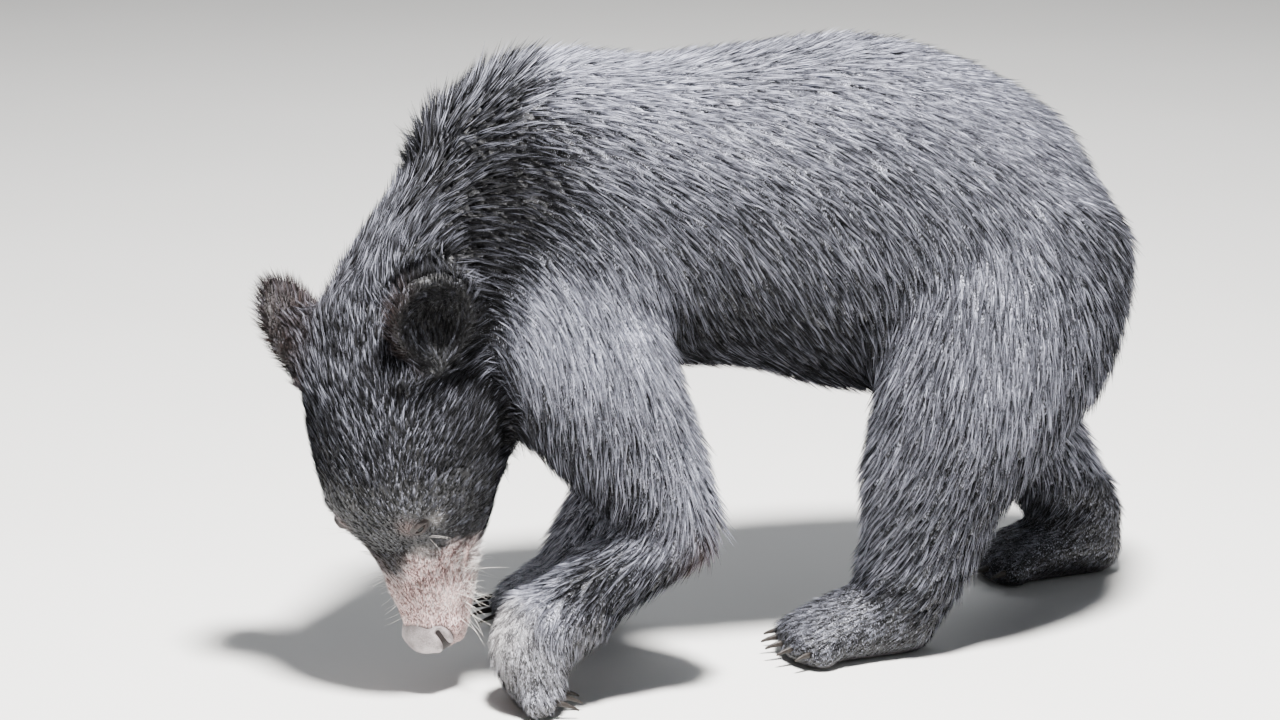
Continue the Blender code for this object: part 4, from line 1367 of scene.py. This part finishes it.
def grow_coat(skin, tufts, material):
    """The coat, patch by patch, as plain meshes that stay apart from the skin."""
    tree = tuft_tree(tufts)
    items = [item for item in tree.interface.items_tree if item.in_out == "INPUT"]
    sockets = {item.name: item.identifier for item in items}
    pieces = []
    for number, (name, spacing) in enumerate(COAT_PIECES.items()):
        bed = new_object(name + "_bed", skin.data.copy())
        step = bed.modifiers.new("tufts", "NODES")
        step.node_group = tree
        inputs = {
            "Patch": number,
            "Spacing": spacing,
            "Seed": COAT_SEED + number * SEED_STEP,
            "Material": material,
        }
        for word, value in inputs.items():
            step[sockets[word]] = value
        pieces.append(baked(bed, name))
    for tuft in tufts:
        bpy.data.objects.remove(tuft)
    return pieces


# Materials


def plain_material(name, **values):
    """A material with its own shader, and the values that are the same all over it."""
    made = bpy.data.materials.new(name)
    made.use_nodes = True
    shader = made.node_tree.nodes["Principled BSDF"]
    for word, value in values.items():
        shader.inputs[word.replace("_", " ")].default_value = value
    return made, made.node_tree


def painted(material, **links):
    """The material with its colour, roughness or normal taken from other nodes."""
    tree = material.node_tree
    for word, socket in links.items():
        tree.links.new(socket, tree.nodes["Principled BSDF"].inputs[word.replace("_", " ")])
    return material


def attribute(tree, name):
    """The value of an attribute, in a shader tree."""
    return add_node(tree, "ShaderNodeAttribute", attribute_name=name).outputs["Fac"]


def blended(tree, share, low, high):
    """A colour that runs from low to high by a share."""
    made = add_node(tree, "ShaderNodeMix", data_type="RGBA")
    for socket, value in ((0, share), (6, low), (7, high)):
        if isinstance(value, bpy.types.NodeSocket):
            tree.links.new(value, made.inputs[socket])
        else:
            made.inputs[socket].default_value = (*value, 1) if socket else value
    return made.outputs[2]


def noise(tree, scale, detail=3.0, at=None):
    """Noise on the object's own coordinates, about 0.5 on the whole."""
    where = at or add_node(tree, "ShaderNodeTexCoord").outputs["Object"]
    words = {"Vector": where, "Scale": scale, "Detail": detail}
    return add_node(tree, "ShaderNodeTexNoise", words).outputs["Fac"]


def bump(tree, height, distance, strength=1.0):
    words = {"Height": height, "Distance": distance, "Strength": strength}
    return add_node(tree, "ShaderNodeBump", words).outputs["Normal"]


def ranged(tree, value, low, high, to_low=0.0, to_high=1.0):
    words = {0: value, 1: low, 2: high, 3: to_low, 4: to_high}
    return add_node(tree, "ShaderNodeMapRange", words, clamp=True).outputs[0]


def scaled(tree, colour, factor):
    made = add_node(tree, "ShaderNodeVectorMath", {0: colour}, operation="SCALE")
    tree.links.new(factor, made.inputs["Scale"])
    return made.outputs[0]


def hair_colour_group():
    """The colour of hair from its markings, its painted glints of sheen, a tint of its own and
    painted shade by its place along a hair.
    """
    group = bpy.data.node_groups.new("Hair colour", "ShaderNodeTree")
    for name in (*MARKS, "tint", "along"):
        group.interface.new_socket(name, in_out="INPUT", socket_type="NodeSocketFloat")
    group.interface.new_socket("Colour", in_out="OUTPUT", socket_type="NodeSocketColor")
    given = group.nodes.new("NodeGroupInput").outputs
    # Painted glints of sheen: rarer and weaker where there is less painted sheen
    rarity = ranged(group, given["painted_sheen"], 0.0, 1.0, *GLINT_RARITY)
    strength = ranged(group, given["painted_sheen"], 0.0, 1.0, *GLINT_STRENGTH)
    glint = maths(group, "MULTIPLY", maths(group, "POWER", given["tint"], rarity), strength)
    black = blended(group, glint, HAIR_COLOURS["deep"], HAIR_COLOURS["painted_glint"])
    # Painted shade, darkest at the root of a hair, deep in the coat
    dark_up_to, darkest = ROOT_SHADE
    colour = scaled(group, black, ranged(group, given["along"], 0.0, dark_up_to, darkest, 1.0))
    parted = ranged(group, given["tint"], *PARTING)
    for word in ("grey", "tan", "brown", "white"):
        own = blended(group, parted, HAIR_COLOURS["dark_" + word], HAIR_COLOURS[word])
        colour = blended(group, given[word], colour, own)
    add_node(group, "NodeGroupOutput", {0: colour})
    return group


def hair_colour(tree, group, tint, along):
    made = add_node(tree, "ShaderNodeGroup", node_tree=group)
    words = {name: attribute(tree, name) for name in MARKS}
    words.update(tint=tint, along=along)
    for name, value in words.items():
        tree.links.new(value, made.inputs[name])
    return made.outputs[0]


def fur_material(group):
    made, tree = plain_material("black_coat", Specular_IOR_Level=0.09)
    tint, along = attribute(tree, "tint"), attribute(tree, "along")
    colour = hair_colour(tree, group, tint, along)
    dull = ranged(tree, attribute(tree, "painted_sheen"), 0.0, 1.0, *HAIR_DULLNESS)
    rough = maths(tree, "ADD", dull, ranged(tree, tint, 0.0, 1.0, -HAIR_ROUGHER, HAIR_ROUGHER))
    return painted(made, Base_Color=colour, Roughness=rough)


def skin_material(group):
    """Short hair painted on the skin, and leather where it is bare."""
    made, tree = plain_material("skin_under_coat", Roughness=0.55)
    where = add_node(tree, "ShaderNodeTexCoord").outputs["Object"]
    hairs = noise(tree, 1300.0, 2.0, vector_maths(tree, "MULTIPLY", where, (1.0, 1.0, 0.22)))
    tint = ranged(tree, hairs, 0.36, 0.66)
    colour = hair_colour(tree, group, tint, ranged(tree, noise(tree, 500.0), 0.35, 0.65))
    blush = blended(tree, attribute(tree, "tan"), (1.0, 1.0, 1.0), COLOURS["blush"])
    colour = vector_maths(tree, "MULTIPLY", colour, blush)
    height = add_node(tree, "ShaderNodeSeparateXYZ", {0: where}).outputs["Z"]
    leather = blended(tree, ranged(tree, height, 0.020, 0.060), COLOURS["sole"], COLOURS["lid"])
    colour = blended(tree, attribute(tree, "bare"), colour, leather)
    return painted(made, Base_Color=colour, Normal=bump(tree, hairs, 0.0008))


def eye_material():
    made, tree = plain_material("eye", Roughness=0.25, Specular_IOR_Level=0.22)
    ring = attribute(tree, "from_pupil")
    iris = blended(tree, noise(tree, 1400.0), COLOURS["dark_iris"], COLOURS["iris"])
    colour = blended(tree, ranged(tree, ring, *PUPIL_EDGE), COLOURS["pupil"], iris)
    colour = blended(tree, ranged(tree, ring, *IRIS_EDGE), colour, COLOURS["eye_rim"])
    return painted(made, Base_Color=colour)


def nose_material():
    """Pebbled leather in pale and dark patches, with painted shade deep in the nostrils."""
    made, tree = plain_material("nose_pad", Roughness=0.40, Coat_Weight=0.15)
    where = add_node(tree, "ShaderNodeTexCoord").outputs["Object"]
    broad = ranged(tree, noise(tree, 90.0, 4.0), 0.35, 0.65, 0.0, 0.55)
    fine = ranged(tree, noise(tree, 1100.0), 0.40, 0.62, 0.0, 0.45)
    colour = blended(tree, maths(tree, "ADD", broad, fine), COLOURS["dark_nose"], COLOURS["nose"])
    # Painted shade deep in the nostrils
    colour = blended(tree, attribute(tree, "nostril_shade"), colour, COLOURS["nostril_shade"])
    pebbles = add_node(tree, "ShaderNodeTexVoronoi", {"Vector": where, "Scale": 900.0})
    normal = bump(tree, pebbles.outputs["Distance"], 0.0004, 0.7)
    return painted(made, Base_Color=colour, Normal=normal)


def horn_material():
    made, tree = plain_material("claw_horn", Roughness=0.42, Specular_IOR_Level=0.25)
    grain = noise(tree, 700.0, 4.0)
    colour = blended(tree, grain, COLOURS["dark_horn"], COLOURS["horn"])
    return painted(made, Base_Color=colour, Normal=bump(tree, grain, 0.0004, 0.6))


def whisker_material():
    return plain_material("whiskers", Roughness=0.35, Base_Color=(*COLOURS["whisker"], 1))[0]


def floor_material():
    made, tree = plain_material("pale_floor", Roughness=0.85)
    return painted(made, Base_Color=blended(tree, noise(tree, 2.0), *FLOOR_COLOURS))


def wear(piece, material):
    piece.data.materials.clear()
    piece.data.materials.append(material)


# Eyes, nose, claws and whiskers


def eyeball(side):
    """The eye with its cornea raised in front, and how far each point is from the pupil."""
    centre, look, along, above = lid_frame(side)
    shape = bmesh.new()
    bmesh.ops.create_uvsphere(shape, u_segments=48, v_segments=32, radius=1.0)
    mesh = written(shape, "eye")
    ball = points_of(mesh)
    front = ball[:, 2] > 0
    off_axis = np.hypot(ball[:, 0], ball[:, 1]) * EYE_RADIUS
    rise, *edges = CORNEA
    raised = rise * smooth_step(*edges, off_axis) * front
    around = ball @ np.array((along, above, look))
    move_points(mesh, centre + around * (EYE_RADIUS + raised)[:, None])
    put_attribute(mesh, "from_pupil", np.where(front, off_axis, EYE_RADIUS))
    mesh.shade_smooth()
    return new_object("eye_left" if side > 0 else "eye_right", mesh)


def nostril_slit(ball):
    """How far each point of the nose's ball is from a nostril, in half widths of it."""
    last = len(NOSTRIL_WAY) - 1
    steps = np.linspace(0, last, NOSTRIL_MARKS)
    marks = [np.interp(steps, range(last + 1), column) for column in zip(*NOSTRIL_WAY)]
    far = np.full(len(ball), np.inf)
    for step, mark in zip(steps, unit(np.stack(marks, 1))):
        wide = np.interp(step, (0, 1, last), NOSTRIL_WIDTHS)
        far = np.minimum(far, far_from(ball, mark) / wide)
    return far


def nose():
    """The nose pad: broad, with two nostrils that run round to its sides, and a groove."""
    shape = bmesh.new()
    bmesh.ops.create_icosphere(shape, subdivisions=6, radius=1.0)
    mesh = written(shape, "nose")
    ahead, across, height = points_of(mesh).T
    far = nostril_slit(np.stack((ahead, np.abs(across), height), 1))
    depth, wide = NOSTRIL_DEEP
    deep = depth * bell(far, wide)
    high, distance, wide = NOSE_WING
    wing = high * bell(far - distance, wide)
    cut, wide, downwards, forwards = NOSE_GROOVE
    groove = cut * bell(across, wide) * smooth_step(*downwards, height)
    groove *= smooth_step(*forwards, ahead)
    flattest, forwards = NOSE_FLAT
    flat = flattest * smooth_step(*forwards, ahead)
    ball = points_of(mesh) * (1 - deep - groove - flat + wing)[:, None]
    place = np.array(NOSE_PLACE) + ball * np.array(NOSE_RADII)
    move_points(mesh, OCCIPUT + place @ HEAD_AXES)
    # Painted shade, deepest in the nostrils
    put_attribute(mesh, "nostril_shade", smooth_step(*NOSTRIL_SHADE, deep))
    mesh.shade_smooth()
    return new_object("nose", mesh)


def claws(limb):
    """The five claws of a paw, smoothed from their solids."""
    nodes = [f"{limb}_claw_{toe}" for toe in CLAW_TOES]
    shape = shape_of(*(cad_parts[node].data for node in nodes))
    bmesh.ops.remove_doubles(shape, verts=shape.verts, dist=SAME_PLACE)
    rough = new_object("rough_claws", written(shape, "claws"))
    finer = rough.modifiers.new("rounded", "SUBSURF")
    finer.levels = finer.render_levels = 2
    made = baked(rough, "claws_" + limb)
    made.data.shade_smooth()
    return made, nodes


def long_hair(shape, root, way, droop, length, radius):
    """One whisker: a tapered hair that leaves along a way and sinks to another."""
    aside = Vector(np.cross(way, droop + 1e-4)).normalized()
    rings = []
    for step in range(WHISKER_STEPS + 1):
        share = step / WHISKER_STEPS
        spot = Vector(root + (way * share + droop * share**2) * length)
        thick = radius * (1 - WHISKER_TAPER * share)
        other = Vector(way + 2 * droop * share).normalized().cross(aside)
        turns = [math.tau * corner / WHISKER_SIDES for corner in range(WHISKER_SIDES)]
        ring = [aside * math.cos(turn) + other * math.sin(turn) for turn in turns]
        rings.append([spot + way_out * thick for way_out in ring])
    add_rings(shape, rings)


def whiskers(skin):
    """Long single hairs on the lips, chin and brows."""
    dice = np.random.default_rng(WHISKER_SEED)
    back, down = WHISKER_DROOP
    points, normals = points_of(skin.data), normals_of(skin.data)
    lookup = lookup_of(points)
    shape = bmesh.new()
    for count, low, high, length, (out, ahead, aside) in WHISKERS:
        thick = WHISKER_THICK * length
        for number in range(count * 2):
            side = 1 if number % 2 else -1
            nearest = lookup.find(on_head(dice.uniform(low, high), side))[1]
            root, normal = points[nearest], normals[nearest]
            spread = dice.normal(0, WHISKER_SPREAD, 3)
            way = unit(normal * out + FORWARD * ahead + LEFT * side * aside + spread)
            droop = -FORWARD * back - UP * down + dice.normal(0, WHISKER_SWAY, 3)
            long = length * dice.uniform(*WHISKER_LENGTHS)
            long_hair(shape, root - normal * WHISKER_ROOT, way, droop, long, thick)
    bmesh.ops.recalc_face_normals(shape, faces=shape.faces)
    mesh = written(shape, "whiskers")
    mesh.shade_smooth()
    return new_object("whiskers", mesh)


# Stage, lights and camera


def make_floor():
    floor = new_object("floor", mesh_from("floor", FLOOR_CORNERS, [(0, 1, 2, 3)]))
    wear(floor, floor_material())


def aim(thing, azimuth, elevation, distance, target):
    """Put a light or camera round a target, looking at it. Angles are in degrees."""
    turn, rise = math.radians(azimuth), math.radians(elevation)
    level = math.cos(rise)
    back = Vector((math.sin(turn) * level, -math.cos(turn) * level, math.sin(rise)))
    thing.location = Vector(target) + back * distance
    thing.rotation_euler = back.to_track_quat("Z", "Y").to_euler()


def make_lights():
    for name, (azimuth, elevation, distance, size, power, colour) in LIGHTS.items():
        lamp = bpy.data.lights.new(name, "AREA")
        lamp.shape = "DISK"
        lamp.size = size
        lamp.energy = power
        lamp.color = colour
        aim(new_object(name, lamp), azimuth, elevation, distance, LOOK_AT)
    world = bpy.data.worlds.new("studio")
    bpy.context.scene.world = world
    world.use_nodes = True
    sky = world.node_tree.nodes["Background"].inputs
    sky["Color"].default_value = (*SKY_COLOUR, 1)
    sky["Strength"].default_value = SKY_STRENGTH


def make_camera():
    camera = bpy.data.cameras.new("camera")
    camera.sensor_width = SENSOR
    camera.lens = SENSOR * CAMERA_DISTANCE / CAMERA_SPAN
    eye = new_object("camera", camera)
    aim(eye, CAMERA_AZIMUTH, CAMERA_ELEVATION, CAMERA_DISTANCE, LOOK_AT)
    bpy.context.scene.camera = eye


# Making the bear


def finish_piece(piece, material, nodes=()):
    """Give a piece its material and the CAD nodes it stands for, on the one body."""
    if material:
        wear(piece, material)
    if nodes:
        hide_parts(*nodes)
    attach(piece, "root")


def make_bear():
    skin, table = finished_skin()
    inform_skin(skin, table)
    group = hair_colour_group()
    fur, bare = fur_material(group), skin_material(group)
    coat = grow_coat(skin, tuft_forms(), fur)
    hairs = whiskers(skin)
    skin.data.uv_layers[SKIN_MAP].name = "OFBake"
    flesh = [node for node in flesh_nodes() if node != "nose_pad"]
    finish_piece(skin, bare, flesh)
    for piece in coat:
        finish_piece(piece, None)
    finish_piece(hairs, whisker_material())
    shine = eye_material()
    for side, node in ((1, "left_eye"), (-1, "right_eye")):
        finish_piece(eyeball(side), shine, [node])
    finish_piece(nose(), nose_material(), ["nose_pad"])
    horn = horn_material()
    for limb in LIMBS:
        piece, nodes = claws(limb)
        finish_piece(piece, horn, nodes)


make_floor()
make_lights()
make_camera()
make_bear()
